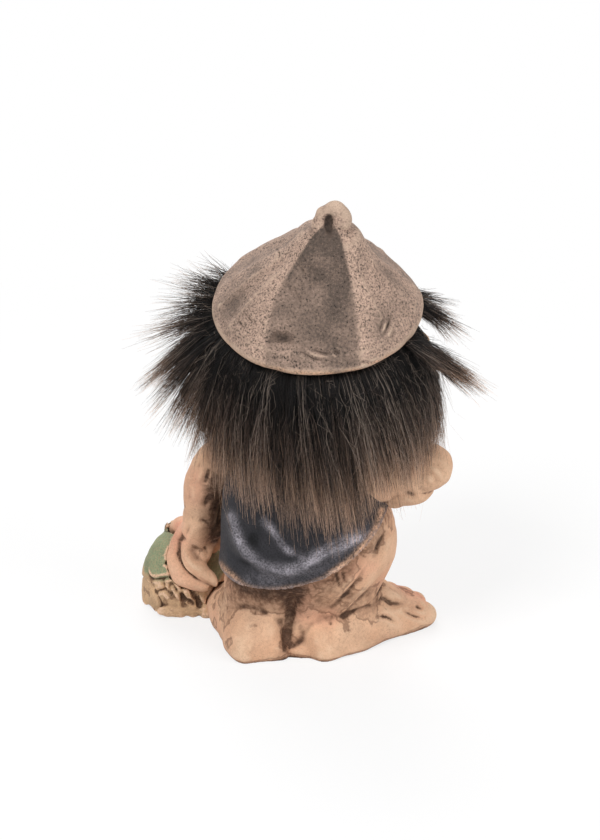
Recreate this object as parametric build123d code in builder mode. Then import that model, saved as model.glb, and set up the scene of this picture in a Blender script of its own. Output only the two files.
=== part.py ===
"""Folk-tale troll figure: cast body, tunic, arms, head, cap and stump, with a fur strip for hair.

Millimetres. X runs to the figure's left, Y to its back and Z up. The origin is on the floor, in the
middle of the felt disc under the soles.
"""

import os
from itertools import pairwise
from math import cos, radians, sin

from build123d import *

# Fits between glued pieces
GLUE_GAP = 0.25

# Rounding of limb ends, and the least turn that sets a limb's bending plane
CAP_ANGLES = (radians(38), radians(70))
LEAST_BEND = 0.05

# Body casting, from sole to neck
SOLE_HALF_WIDTH = 20.0
SOLE_HALF_DEPTH = 13.0
THIGH_HEIGHT = 18.0
THIGH_HALF_WIDTH = 24.0
THIGH_HALF_DEPTH = 16.5
THIGH_SHIFT = -2.0
HIP_HEIGHT = 33.0
HIP_HALF_WIDTH = 25.5
HIP_HALF_DEPTH = 20.5
HIP_SHIFT = -4.5
WAIST_HEIGHT = 46.0
WAIST_HALF_WIDTH = 24.5
WAIST_HALF_DEPTH = 20.0
WAIST_SHIFT = -4.0
SHOULDER_HEIGHT = 60.0
SHOULDER_HALF_WIDTH = 21.5
SHOULDER_HALF_DEPTH = 16.0
SHOULDER_SHIFT = -2.0
NECK_HEIGHT = 75.0
NECK_HALF_WIDTH = 13.0
NECK_HALF_DEPTH = 12.0
NECK_SHIFT = -4.0
LEG_GROOVE_X = 1.5
LEG_GROOVE_RADIUS = 2.4
LEG_GROOVE_HEIGHT = 24.0

# Feet: heel points on the floor, turn out from straight ahead, and sizes
RIGHT_HEEL = (-10.5, 6.5)
RIGHT_SPLAY = 46.0
LEFT_HEEL = (11.7, 8.5)
LEFT_SPLAY = -12.0
HEEL_REACH = 10.0
HEEL_HALF_WIDTH = 9.5
HEEL_HEIGHT = 17.0
FOOT_LENGTH = 33.0
FOOT_HALF_WIDTH = 11.0
INSTEP_HEIGHT = 19.0
BALL_HEIGHT = 12.0
TOE_COUNT = 4
TOE_RADIUS = 3.9

# Felt disc let into the sole
PAD_RADIUS = 8.0
PAD_THICKNESS = 1.0

# Tunic shell: wall, hem heights at the right side, the back and the left side, and neckline
TUNIC_WALL = 1.8
HEM_RIGHT_HEIGHT = 57.0
HEM_LOW_HEIGHT = 26.5
HEM_LEFT_HEIGHT = 25.0
HEM_LOW_X = 3.0
NECKLINE_HEIGHT = 65.0

# Stump beside the left foot
STUMP_X = 34.0
STUMP_Y = -26.5
STUMP_HEIGHT = 25.0
STUMP_RADIUS = 13.9
STUMP_DEPTH_RADIUS = 13.5

# Arms
SHOULDER_INSET = 1.5
LEFT_SHOULDER_RADIUS = 7.4
LEFT_ELBOW = (7.8, -5.5, -11.0)
LEFT_ELBOW_RADIUS = 6.6
LEFT_WRIST_RADIUS = 5.4
PALM_RADIUS = 5.6
HAND_INSET = 3.7
HAND_SINK = 0.3
RIGHT_SHOULDER_RADIUS = 10.4
RIGHT_SHOULDER_DROP = 3.0
RIGHT_ELBOW = (-20.3, 4.5, 2.5)
RIGHT_ELBOW_RADIUS = 7.1
RIGHT_WRIST_RADIUS = 5.0
FINGER_RADIUS = 2.8
FINGER_TIP_RADIUS = 2.2

# Head, in a frame tipped back about X with its origin at the middle of the cap's rim
HEAD_X = -6.2
HEAD_Y = 3.0
HEAD_TIP = 16.0
HEAD_RADIUS = 24.5
CROWN_HEIGHT = 14.5
CROWN_RADIUS = 10.5
CHEEK_DROP = 25.0
CHEEK_HALF_WIDTH = 27.0
CHEEK_HALF_DEPTH = 25.5
JAW_DROP = 36.0
JAW_HALF_WIDTH = 21.0
JAW_HALF_DEPTH = 20.0
CHIN_DROP = 44.0
CHIN_HALF_WIDTH = 11.0
NECK_BURIED = 6.5
NECK_SPIGOT_RADIUS = 6.0
NECK_SPIGOT_LENGTH = 14.0
NOSE_LENGTH = 12.0
NOSE_RADIUS = 8.2
LIP_RADIUS = 2.7
BROW_RADIUS = 3.1
CHEEK_BALL_RADIUS = 8.0
CHIN_BALL_RADIUS = 6.5
EAR_LENGTH = 13.0
EAR_HALF_HEIGHT = 8.0
EYE_RADIUS = 3.8
EYE_SPREAD = 9.0
EYE_DROP = 14.0

# Cap, in the head's frame
HAT_RADIUS = 31.4
HAT_HEIGHT = 29.0
HAT_LEAN = 5.0
HAT_RIDGE_ANGLES = (36.0, 87.0, 149.0, 218.0, 271.0, 310.0)
HAT_RIDGE_HEIGHT = 1.2
HAT_LIP = 1.4
HAT_WALL = 3.4
HAT_CEILING_HEIGHT = 18.0
HAT_CEILING_RADIUS = 9.0
CURL_RADIUS = 3.1
CURL_TUBE_RADIUS = 2.2
GLUE_PAD_RADIUS = 7.0

# Fur strip
BAND_THICKNESS = 1.2
BAND_TOP = 5.0
BAND_BOTTOM = -7.0
FUR_THICKNESS = 5.0
FUR_BULGE = 35.5
FUR_BULGE_DROP = 27.0
FUR_LENGTH = 63.0
FUR_HALF_ANGLE = 78.0
FUR_TIP_HALF_ANGLE = 52.0
FRINGE_LENGTH = 7.0
FRINGE_HALF_ANGLE = 62.0
TUFT_ROOT_TOP = 0.5
TUFT_ROOT_BOTTOM = 6.5
TUFT_SPREAD = 10.0
TUFT_LOWER_SHARE = 0.8

# Fur tufts: turn from the back, climb and reach of their strands, from the back to the front
LEFT_TUFT = (
    (52.0, -74.0, 32.0),
    (66.0, -58.0, 34.0),
    (80.0, -42.0, 33.0),
    (92.0, -24.0, 27.0),
    (106.0, -2.0, 19.0),
    (122.0, 10.0, 11.0),
)
RIGHT_TUFT = (
    (56.0, -18.0, 22.0),
    (64.0, -20.0, 27.0),
    (72.0, -27.0, 22.0),
    (85.0, -32.0, 9.0),
    (97.0, -40.0, 20.0),
    (105.0, -36.0, 22.0),
    (114.0, -25.0, 14.0),
)

# Places that follow from the sizes above
TIP_COS = cos(radians(HEAD_TIP))
TIP_SIN = sin(radians(HEAD_TIP))
HEAD_Z = NECK_HEIGHT - NECK_BURIED + CHIN_DROP * TIP_COS
HEAD_PLANE = Plane((HEAD_X, HEAD_Y, HEAD_Z), x_dir=(1, 0, 0), z_dir=(0, TIP_SIN, TIP_COS))
LEFT_SHOULDER = Vector(SHOULDER_HALF_WIDTH - SHOULDER_INSET, -SHOULDER_INSET, SHOULDER_HEIGHT)
RIGHT_SHOULDER = Vector(
    SHOULDER_INSET - SHOULDER_HALF_WIDTH, SHOULDER_INSET, SHOULDER_HEIGHT - RIGHT_SHOULDER_DROP
)
LEFT_HAND = Vector(
    STUMP_X - HAND_INSET, STUMP_Y + STUMP_DEPTH_RADIUS, STUMP_HEIGHT + PALM_RADIUS - HAND_SINK
)
CHEST_Y = -(WAIST_HALF_DEPTH + SHOULDER_HALF_DEPTH) / 2 - GLUE_GAP - TUNIC_WALL
RIGHT_HAND = Vector(-17.0, CHEST_Y - 1.0, (WAIST_HEIGHT + SHOULDER_HEIGHT) / 2 + 3)
BAND_REACH = HEAD_RADIUS + 2 * GLUE_GAP + BAND_THICKNESS
FLOOR_BLOCK = 200.0


def on_head(x, y, z):
    """A point of the head's tipped frame, in the figure's frame."""
    return HEAD_PLANE.from_local_coords(Vector(x, y, z))


def eye_spot(side):
    """The middle of an eye bead, most of it sunk in the face."""
    return on_head(side * EYE_SPREAD, EYE_RADIUS * 0.7 - CHEEK_HALF_DEPTH, -EYE_DROP)


def limb(points, radii, grow=0.0):
    """A smooth tapering round length through points, with rounded ends."""
    path = [Vector(point) for point in points]
    runs = [(end - start).normalized() for start, end in pairwise(path)]
    turns = [(before + after).normalized() for before, after in pairwise(runs)]
    tangents = [runs[0], *turns, runs[-1]]
    bend = runs[0].cross(runs[-1])
    across = bend if bend.length > LEAST_BEND else runs[0].cross(Vector(runs[0].Y, runs[0].Z, -runs[0].X))
    stations = [(spot, along, radius + grow) for spot, along, radius in zip(path, tangents, radii)]
    for end, side in ((0, -1), (-1, 1)):
        spot, along, radius = stations[end]
        caps = [(spot + along * (side * radius * sin(a)), along, radius * cos(a)) for a in CAP_ANGLES]
        stations = stations + caps if side > 0 else caps[::-1] + stations
    with BuildPart() as form:
        for spot, along, radius in stations:
            steady = across - along * across.dot(along)
            with BuildSketch(Plane(spot, x_dir=steady, z_dir=along)):
                Circle(radius)
        loft()
    return form.part


def ball(spot, radius, grow=0.0):
    """A round lump, drawn out a little along X."""
    half = Vector(radius * 0.1, 0, 0)
    return limb((spot - half, spot + half), (radius, radius), grow)


def trunk(grow=0.0):
    """The swelling trunk from the soles to the neck."""
    rings = (
        (0.0, SOLE_HALF_WIDTH, SOLE_HALF_DEPTH, 0.0),
        (THIGH_HEIGHT, THIGH_HALF_WIDTH, THIGH_HALF_DEPTH, THIGH_SHIFT),
        (HIP_HEIGHT, HIP_HALF_WIDTH, HIP_HALF_DEPTH, HIP_SHIFT),
        (WAIST_HEIGHT, WAIST_HALF_WIDTH, WAIST_HALF_DEPTH, WAIST_SHIFT),
        (SHOULDER_HEIGHT, SHOULDER_HALF_WIDTH, SHOULDER_HALF_DEPTH, SHOULDER_SHIFT),
        (NECK_HEIGHT, NECK_HALF_WIDTH, NECK_HALF_DEPTH, NECK_SHIFT),
    )
    with BuildPart() as form:
        for height, half_width, half_depth, shift in rings:
            with BuildSketch(Plane((shift, 0, height))):
                Ellipse(half_width + grow, half_depth + grow)
        loft()
    return form.part


def foot(heel, splay, grow=0.0):
    """A flat-soled foot with a round heel, a high instep and a row of toes."""
    ahead = Vector(-sin(radians(splay)), -cos(radians(splay)), 0)
    across = Vector(0, 0, 1).cross(ahead)
    heel_point = Vector(*heel, 0)
    slices = (
        (-HEEL_REACH, HEEL_HALF_WIDTH * 0.62, HEEL_HEIGHT * 0.45),
        (-HEEL_REACH * 0.6, HEEL_HALF_WIDTH * 0.9, HEEL_HEIGHT * 0.85),
        (0.0, HEEL_HALF_WIDTH, HEEL_HEIGHT),
        (FOOT_LENGTH * 0.45, FOOT_HALF_WIDTH * 0.95, INSTEP_HEIGHT),
        (FOOT_LENGTH * 0.8, FOOT_HALF_WIDTH, BALL_HEIGHT),
        (FOOT_LENGTH, FOOT_HALF_WIDTH * 0.9, BALL_HEIGHT * 0.75),
    )
    toes = []
    for index in range(TOE_COUNT):
        side = (index - (TOE_COUNT - 1) / 2) / TOE_COUNT * 2
        reach = FOOT_LENGTH + TOE_RADIUS * (0.3 - 0.6 * side * side)
        lift = Vector(0, 0, TOE_RADIUS * 0.9)
        spot = heel_point + ahead * reach + across * (side * FOOT_HALF_WIDTH) + lift
        toes.append(limb((spot - ahead * TOE_RADIUS, spot), (TOE_RADIUS * 0.9, TOE_RADIUS), grow))
    with BuildPart() as form:
        for along, half_width, height in slices:
            wide = half_width + grow
            high = height + grow
            with BuildSketch(Plane(heel_point + ahead * along, x_dir=across, z_dir=ahead)):
                with BuildLine():
                    shoulder = (wide * 0.8, high * 0.7)
                    Spline((-wide, 0), (-shoulder[0], shoulder[1]), (0, high), shoulder, (wide, 0))
                    Line((wide, 0), (-wide, 0))
                make_face()
        loft()
        add(toes)
        with Locations((0, 0, -FLOOR_BLOCK / 2)):
            Box(FLOOR_BLOCK, FLOOR_BLOCK, FLOOR_BLOCK, mode=Mode.SUBTRACT)
    return form.part


def left_arm_form(grow=0.0):
    """The hanging arm, with its hand on the stump."""
    elbow = LEFT_SHOULDER + Vector(*LEFT_ELBOW)
    wrist = LEFT_HAND + Vector(-1.2, 3.0, PALM_RADIUS)
    forms = [
        limb(
            (LEFT_SHOULDER, elbow, wrist, LEFT_HAND),
            (LEFT_SHOULDER_RADIUS, LEFT_ELBOW_RADIUS, LEFT_WRIST_RADIUS, PALM_RADIUS),
            grow,
        )
    ]
    finger_radii = (FINGER_RADIUS, FINGER_RADIUS, FINGER_RADIUS, FINGER_TIP_RADIUS)
    routes = (
        ((3, -1, 1), (7, -3.5, -10), (3.5, 0, -17.5), (-2.5, 1.5, -18.5)),
        ((-1, 1, 1), (3, 0.5, -8.5), (-1.5, 2, -13.5), (-6.5, 2.5, -16)),
        ((2, -4, -1), (5, -10, -3.5), (6.5, -15, -7), (6, -19, -11.5)),
        ((-4, -2, -1), (-6, -5, -5), (-6.5, -9, -8), (-6, -12, -10)),
    )
    for route in routes:
        forms.append(limb([LEFT_HAND + Vector(*step) for step in route], finger_radii, grow))
    with BuildPart() as form:
        add(forms)
    return form.part


def right_arm_form(grow=0.0):
    """The arm bent at the elbow, with its hand on the chest."""
    elbow = RIGHT_SHOULDER + Vector(*RIGHT_ELBOW)
    wrist = RIGHT_HAND + Vector(-8.0, 3.0, 0.5)
    forms = [
        limb((RIGHT_SHOULDER, elbow), (RIGHT_SHOULDER_RADIUS, RIGHT_ELBOW_RADIUS), grow),
        limb((elbow, wrist, RIGHT_HAND), (RIGHT_ELBOW_RADIUS, RIGHT_WRIST_RADIUS, PALM_RADIUS), grow),
    ]
    finger_radii = (FINGER_RADIUS, FINGER_RADIUS, FINGER_TIP_RADIUS)
    routes = [((0.0, -2.0, 3.5), (3.5, -3.5, 7.0), (7.5, -4.0, 8.5))]
    for index in range(3):
        rise = (index - 1) * 1.55 * FINGER_RADIUS
        routes.append(((3.0, -1.0, rise * 0.8), (8.5, -2.0, rise - 0.5), (13.5, -2.2, rise * 1.1 - 1.5)))
    for route in routes:
        forms.append(limb([RIGHT_HAND + Vector(*step) for step in route], finger_radii, grow))
    with BuildPart() as form:
        add(forms)
    return form.part


def skull(grow=0.0):
    """The plain head from crown to chin, without its features."""
    rings = (
        (CROWN_HEIGHT, CROWN_RADIUS, CROWN_RADIUS, 0.0),
        (CROWN_HEIGHT * 0.6, CROWN_RADIUS + 8.0, CROWN_RADIUS + 8.0, 0.0),
        (0.0, HEAD_RADIUS, HEAD_RADIUS, 0.0),
        (-CHEEK_DROP * 0.5, CHEEK_HALF_WIDTH, CHEEK_HALF_DEPTH, 0.0),
        (-CHEEK_DROP, CHEEK_HALF_WIDTH, CHEEK_HALF_DEPTH, 0.0),
        (-JAW_DROP, JAW_HALF_WIDTH, JAW_HALF_DEPTH, -2.0),
        (-CHIN_DROP, CHIN_HALF_WIDTH, CHIN_HALF_WIDTH, -4.0),
    )
    with BuildPart() as form:
        for height, half_width, half_depth, shift in rings:
            plane = HEAD_PLANE.offset(height)
            with BuildSketch(plane):
                with Locations((0, shift)):
                    Ellipse(half_width + grow, half_depth + grow)
        loft()
    return form.part


def ear(side, grow=0.0):
    """A flat pointed ear that leans back and up."""
    root = on_head(side * (CHEEK_HALF_WIDTH - 3), -4, -CHEEK_DROP * 0.7)
    along = (on_head(side, 0.2, 0.35) - on_head(0, 0, 0)).normalized()
    slices = ((0.0, 0.8, 3.2), (0.5, 1.0, 2.6), (0.85, 0.62, 2.0), (1.0, 0.2, 0.8))
    with BuildPart() as form:
        for share, tall, thick in slices:
            plane = Plane(root + along * (EAR_LENGTH * share), x_dir=(0, 1, 0), z_dir=along)
            with BuildSketch(plane):
                Ellipse(thick + grow, EAR_HALF_HEIGHT * tall + grow)
        loft()
    return form.part


def face_forms(grow=0.0):
    """Nose, brows, cheeks, lips and chin, as swelling forms on the skull."""
    front = -CHEEK_HALF_DEPTH
    bridge = on_head(0, front + 2.5, -EYE_DROP + 5)
    nose_middle = on_head(0, front - NOSE_LENGTH * 0.4, -EYE_DROP)
    nose_end = on_head(0, front - NOSE_LENGTH, -EYE_DROP - 7)
    upper_lip = [on_head(x, front + 5.5, -JAW_DROP + 7.5) for x in (-8, 8)]
    lower_lip = [on_head(x, front + y, -JAW_DROP) for x, y in ((-9, 5), (0, 2), (9, 5))]
    forms = [
        limb((bridge, nose_middle, nose_end), (NOSE_RADIUS * 0.58, NOSE_RADIUS * 0.75, NOSE_RADIUS), grow),
        limb(upper_lip, (LIP_RADIUS * 2, LIP_RADIUS * 2), grow),
        limb(lower_lip, (LIP_RADIUS * 0.8, LIP_RADIUS, LIP_RADIUS * 0.8), grow),
        ball(on_head(0, front + 6.5, -CHIN_DROP + 3), CHIN_BALL_RADIUS, grow),
    ]
    for side in (-1, 1):
        nostril = on_head(side * NOSE_RADIUS * 0.75, front - NOSE_LENGTH * 0.65, -EYE_DROP - 9)
        cheek = on_head(side * CHEEK_HALF_WIDTH * 0.5, front + 7, -CHEEK_DROP)
        arch = ((3, 1, 5), (9, 1, 7), (16, 5.5, 4.5))
        brow = [on_head(side * x, front + y, -EYE_DROP + z) for x, y, z in arch]
        forms.append(ball(nostril, NOSE_RADIUS * 0.5, grow))
        forms.append(ball(cheek, CHEEK_BALL_RADIUS, grow))
        forms.append(limb(brow, (BROW_RADIUS, BROW_RADIUS * 1.1, BROW_RADIUS * 0.8), grow))
    return forms


def head_form(grow=0.0):
    """The head with its features and ears, before its sockets are cut."""
    forms = [skull(grow), *face_forms(grow), ear(-1, grow), ear(1, grow)]
    with BuildPart() as form:
        add(forms)
    return form.part


def hat_shift(height):
    """How far the cap's middle has leaned towards the figure's right at a height."""
    return -HAT_LEAN * (height / HAT_HEIGHT) ** 2 if height > 0 else 0.0


def hat_form(grow=0.0):
    """The outside of the cap: a leaning cone with scooped panels between round ridges."""
    rings = (
        (-HAT_LIP - grow, HAT_RADIUS - HAT_LIP, 0.0),
        (HAT_LIP * 0.4, HAT_RADIUS, 0.1),
        (HAT_HEIGHT * 0.17, HAT_RADIUS * 0.955, 0.5),
        (HAT_HEIGHT * 0.38, HAT_RADIUS * 0.785, 0.9),
        (HAT_HEIGHT * 0.62, HAT_RADIUS * 0.54, 1.0),
        (HAT_HEIGHT * 0.83, HAT_RADIUS * 0.33, 0.7),
        (HAT_HEIGHT, CURL_TUBE_RADIUS * 1.9, 0.0),
    )
    with BuildPart() as form:
        for height, radius, ridge in rings:
            points = []
            for start, end in pairwise((*HAT_RIDGE_ANGLES, HAT_RIDGE_ANGLES[0] + 360)):
                for share, side in ((0.0, 1), (1 / 3, -1), (2 / 3, -1)):
                    angle = radians(start + share * (end - start))
                    reach = radius + grow + HAT_RIDGE_HEIGHT * ridge * side
                    points.append((hat_shift(height) - reach * sin(angle), reach * cos(angle)))
            with BuildSketch(HEAD_PLANE.offset(height)):
                with BuildLine():
                    Spline(*points, periodic=True)
                make_face()
        loft()
    return form.part


def crescent(plane, inner, outer, half_angle, facing):
    """A ring's stretch on a plane, about its origin, centred on the facing side of its Y axis."""
    ends = [radians(side * half_angle) for side in (-1, 1)]

    def spot(radius, angle):
        return (radius * sin(angle), facing * radius * cos(angle))

    with BuildSketch(plane) as sketch:
        with BuildLine():
            ThreePointArc(spot(inner, ends[0]), spot(inner, 0), spot(inner, ends[1]))
            Line(spot(inner, ends[1]), spot(outer, ends[1]))
            ThreePointArc(spot(outer, ends[1]), spot(outer, 0), spot(outer, ends[0]))
            Line(spot(outer, ends[0]), spot(inner, ends[0]))
        make_face()
    return sketch.sketch.face()


def fur_wedge(turn, climb, reach):
    """An upright slice of a side tuft at a turn from the back, fanning out from the band."""
    angle = radians(turn)
    out = Vector(-sin(angle), cos(angle), 0)
    start = BAND_REACH + 2 * GLUE_GAP
    root = Vector(HEAD_X, HEAD_Y, HEAD_Z - start * cos(angle) * TIP_SIN) + out * start
    upper = radians(climb)
    lower = radians(climb - TUFT_SPREAD)
    short_reach = reach * TUFT_LOWER_SHARE
    corners = (
        (0, -TUFT_ROOT_TOP),
        (0, -TUFT_ROOT_BOTTOM),
        (short_reach * cos(lower), short_reach * sin(lower) - TUFT_ROOT_BOTTOM),
        (reach * cos(upper), reach * sin(upper) - TUFT_ROOT_TOP),
    )
    with BuildSketch(Plane(root, x_dir=out, z_dir=out.cross(Vector(0, 0, 1)))) as sketch:
        with BuildLine():
            Polyline(*corners, close=True)
        make_face()
    return sketch.sketch.face()


def largest(part):
    """The main solid of a part that a cut has left with loose slivers."""
    return part.solids().sort_by(SortBy.VOLUME)[-1]


# Forms that are cut out of their neighbours, with the gap of each fit
trunk_plain = trunk()
right_foot = foot(RIGHT_HEEL, RIGHT_SPLAY)
left_foot = foot(LEFT_HEEL, LEFT_SPLAY)
left_arm_plain = left_arm_form()
right_arm_plain = right_arm_form()
head_plain = head_form()
left_arm_room = left_arm_form(GLUE_GAP)
right_arm_room = right_arm_form(GLUE_GAP)
head_room = head_form(GLUE_GAP)
left_foot_room = foot(LEFT_HEEL, LEFT_SPLAY, GLUE_GAP)
trunk_room = trunk(GLUE_GAP)
tunic_outside = trunk(GLUE_GAP + TUNIC_WALL)
tunic_room = trunk(2 * GLUE_GAP + TUNIC_WALL)
chin_point = on_head(0, -4, -CHIN_DROP)
neck_spot = Vector((chin_point.X + NECK_SHIFT) / 2, chin_point.Y / 2, NECK_HEIGHT - NECK_SPIGOT_LENGTH)
neck_reach = NECK_SPIGOT_LENGTH + CHIN_DROP * 0.25

# Body casting with hollows for the shoulders, a socket for the neck and a recess for the felt
with BuildPart() as body:
    add(trunk_plain)
    add(right_foot)
    add(left_foot)
    add([left_arm_room, right_arm_room, head_room], mode=Mode.SUBTRACT)
    with Locations(Vector(LEG_GROOVE_X, SOLE_HALF_DEPTH, 0)):
        Cylinder(
            LEG_GROOVE_RADIUS,
            LEG_GROOVE_HEIGHT,
            align=(Align.CENTER, Align.CENTER, Align.MIN),
            mode=Mode.SUBTRACT,
        )
    with Locations(neck_spot - Vector(0, 0, GLUE_GAP)):
        Cylinder(
            NECK_SPIGOT_RADIUS + GLUE_GAP,
            neck_reach,
            align=(Align.CENTER, Align.CENTER, Align.MIN),
            mode=Mode.SUBTRACT,
        )
    Cylinder(
        PAD_RADIUS + GLUE_GAP,
        PAD_THICKNESS + GLUE_GAP,
        align=(Align.CENTER, Align.CENTER, Align.MIN),
        mode=Mode.SUBTRACT,
    )

# Felt disc, flush with the soles
with BuildPart() as sole_pad:
    Cylinder(PAD_RADIUS, PAD_THICKNESS, align=(Align.CENTER, Align.CENTER, Align.MIN))

# Tunic shell between a sagging hem and the neckline
with BuildPart() as tunic:
    add(tunic_outside)
    add(trunk_room, mode=Mode.SUBTRACT)
    hem_right = (HIP_SHIFT - HIP_HALF_WIDTH - 2 * TUNIC_WALL, HEM_RIGHT_HEIGHT)
    hem_left = (HIP_SHIFT + HIP_HALF_WIDTH + 2 * TUNIC_WALL, HEM_LEFT_HEIGHT)
    with BuildSketch(Plane.XZ):
        with BuildLine():
            ThreePointArc(hem_right, (HEM_LOW_X, HEM_LOW_HEIGHT), hem_left)
            Polyline(hem_left, (hem_left[0], NECKLINE_HEIGHT), (hem_right[0], NECKLINE_HEIGHT), hem_right)
        make_face()
    extrude(amount=2 * HIP_HALF_DEPTH, both=True, mode=Mode.INTERSECT)
    add([left_arm_room, right_arm_room, head_room], mode=Mode.SUBTRACT)

# Arms, whose round shoulders are glued into hollows of the body
with BuildPart() as left_arm:
    add(left_arm_plain)

with BuildPart() as right_arm:
    add(right_arm_plain)

# Stump, scribed to the hand and the left foot
with BuildPart() as stump:
    for share, spread in ((0.0, 1.0), (0.3, 1.05), (0.6, 0.96), (0.86, 0.7), (1.0, 0.36)):
        with BuildSketch(Plane((STUMP_X, STUMP_Y, STUMP_HEIGHT * share))):
            Ellipse(STUMP_RADIUS * spread, STUMP_DEPTH_RADIUS * spread)
    loft()
    add(left_arm_room, mode=Mode.SUBTRACT)
    add(left_foot_room, mode=Mode.SUBTRACT)

# Head with eye sockets and the neck spigot
with BuildPart() as head:
    add(head_plain)
    with Locations(neck_spot):
        Cylinder(NECK_SPIGOT_RADIUS, neck_reach, align=(Align.CENTER, Align.CENTER, Align.MIN))
    for side in (-1, 1):
        with Locations(Plane(eye_spot(side), z_dir=-HEAD_PLANE.y_dir)):
            Sphere(EYE_RADIUS + GLUE_GAP, mode=Mode.SUBTRACT)

# Eye beads
eyes = {}
for name, side in (("left_eye", 1), ("right_eye", -1)):
    with BuildPart() as eye:
        with Locations(Plane(eye_spot(side), z_dir=-HEAD_PLANE.y_dir)):
            Sphere(EYE_RADIUS)
    eyes[name] = eye

# Cap: the leaning cone, hollow to its ceiling, with a curl at the tip
hat_outside = hat_form()
with BuildPart() as hat:
    add(hat_outside)
    inside = (
        (-HAT_LIP, HAT_RADIUS - HAT_WALL),
        (HAT_HEIGHT * 0.17, HAT_RADIUS * 0.955 - HAT_WALL - HAT_RIDGE_HEIGHT),
        (HAT_HEIGHT * 0.38, HAT_RADIUS * 0.8 - HAT_WALL - HAT_RIDGE_HEIGHT),
        (HAT_CEILING_HEIGHT, HAT_CEILING_RADIUS),
    )
    for height, radius in inside:
        with BuildSketch(HEAD_PLANE.offset(height)):
            Circle(radius)
    loft(mode=Mode.SUBTRACT)
    curl_height = HAT_HEIGHT + CURL_RADIUS + CURL_TUBE_RADIUS * 0.8
    with Locations(Plane(on_head(-HAT_LEAN, 0, curl_height), z_dir=HEAD_PLANE.y_dir)):
        Torus(CURL_RADIUS, CURL_TUBE_RADIUS)

# Adhesive between the crown and the cap's ceiling
with BuildPart() as hat_glue:
    with BuildSketch(HEAD_PLANE.offset(CROWN_HEIGHT)):
        Circle(GLUE_PAD_RADIUS)
    extrude(amount=HAT_CEILING_HEIGHT - CROWN_HEIGHT)

# Backing of the fur strip, round the head under the rim
band_outside = skull(GLUE_GAP + BAND_THICKNESS)
band_inside = skull(GLUE_GAP)
with BuildPart() as hair_band:
    add(band_outside)
    add(band_inside, mode=Mode.SUBTRACT)
    with BuildSketch(HEAD_PLANE.offset(BAND_BOTTOM)):
        Circle(HAT_RADIUS)
    extrude(amount=BAND_TOP - BAND_BOTTOM, mode=Mode.INTERSECT)
    add(head_room, mode=Mode.SUBTRACT)

# Fur pile, cut clear of everything that it lies on
band_room = skull(2 * GLUE_GAP + BAND_THICKNESS)
hat_room = hat_form(GLUE_GAP)
fur_rooms = [band_room, head_room, hat_room, left_arm_room, right_arm_room, tunic_room]
fur_axis = Plane((HEAD_X, HEAD_Y, 0))

bulge_height = HEAD_Z - FUR_BULGE_DROP
tip_height = HEAD_Z - FUR_LENGTH
middle_height = (bulge_height + tip_height) / 2
rim_plane = HEAD_PLANE.offset(-HAT_LIP - GLUE_GAP)
brow_plane = rim_plane.offset(-FRINGE_LENGTH)
middle_half_angle = (FUR_HALF_ANGLE + FUR_TIP_HALF_ANGLE) / 2
inner_fall = FUR_BULGE - 1.8 * FUR_THICKNESS
back_slices = [
    crescent(rim_plane, BAND_REACH, BAND_REACH + FUR_THICKNESS, FUR_HALF_ANGLE, 1),
    crescent(fur_axis.offset(bulge_height), inner_fall, FUR_BULGE, FUR_HALF_ANGLE, 1),
    crescent(fur_axis.offset(middle_height), inner_fall, FUR_BULGE - 0.5, middle_half_angle, 1),
    crescent(fur_axis.offset(tip_height), inner_fall, FUR_BULGE - FUR_THICKNESS, FUR_TIP_HALF_ANGLE, 1),
]
with BuildPart() as hair_back:
    loft(back_slices)
    add(fur_rooms, mode=Mode.SUBTRACT)

fringe_slices = [
    crescent(rim_plane, BAND_REACH, BAND_REACH + FUR_THICKNESS * 0.7, FRINGE_HALF_ANGLE, -1),
    crescent(brow_plane, BAND_REACH + 1.0, BAND_REACH + FUR_THICKNESS, FRINGE_HALF_ANGLE, -1),
]
with BuildPart() as hair_fringe:
    loft(fringe_slices)
    add(fur_rooms, mode=Mode.SUBTRACT)

tufts = {}
for name, side, fan in (("hair_left", -1, LEFT_TUFT), ("hair_right", 1, RIGHT_TUFT)):
    with BuildPart() as tuft:
        loft([fur_wedge(side * turn, climb, reach) for turn, climb, reach in fan], ruled=True)
        add(fur_rooms, mode=Mode.SUBTRACT)
        add(hair_back.part, mode=Mode.SUBTRACT)
        add(hair_fringe.part, mode=Mode.SUBTRACT)
    tufts[name] = tuft

# One STEP file for each piece
pieces = {
    "body": body,
    "tunic": tunic,
    "left_arm": left_arm,
    "right_arm": right_arm,
    "head": head,
    "hat": hat,
    "hat_glue": hat_glue,
    "hair_band": hair_band,
    "hair_back": hair_back,
    "hair_fringe": hair_fringe,
    "stump": stump,
    "sole_pad": sole_pad,
    **eyes,
    **tufts,
}
os.makedirs("parts", exist_ok=True)
for name, piece in pieces.items():
    solid = largest(piece.part)
    solid.label = name
    export_step(solid, f"parts/{name}.step")
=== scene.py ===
"""Looks of the troll figure: worked and painted castings and combed fur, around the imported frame.

Lengths are millimetres in the figure's frame, X to its left, Y to its back and Z up, until a mesh is
written in metres. Tool strokes lie in a view: across to the right and up, as seen from that side.
"""

from math import cos, radians, sin

import bmesh
import bpy
import numpy as np
from mathutils import Matrix, Vector


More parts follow.
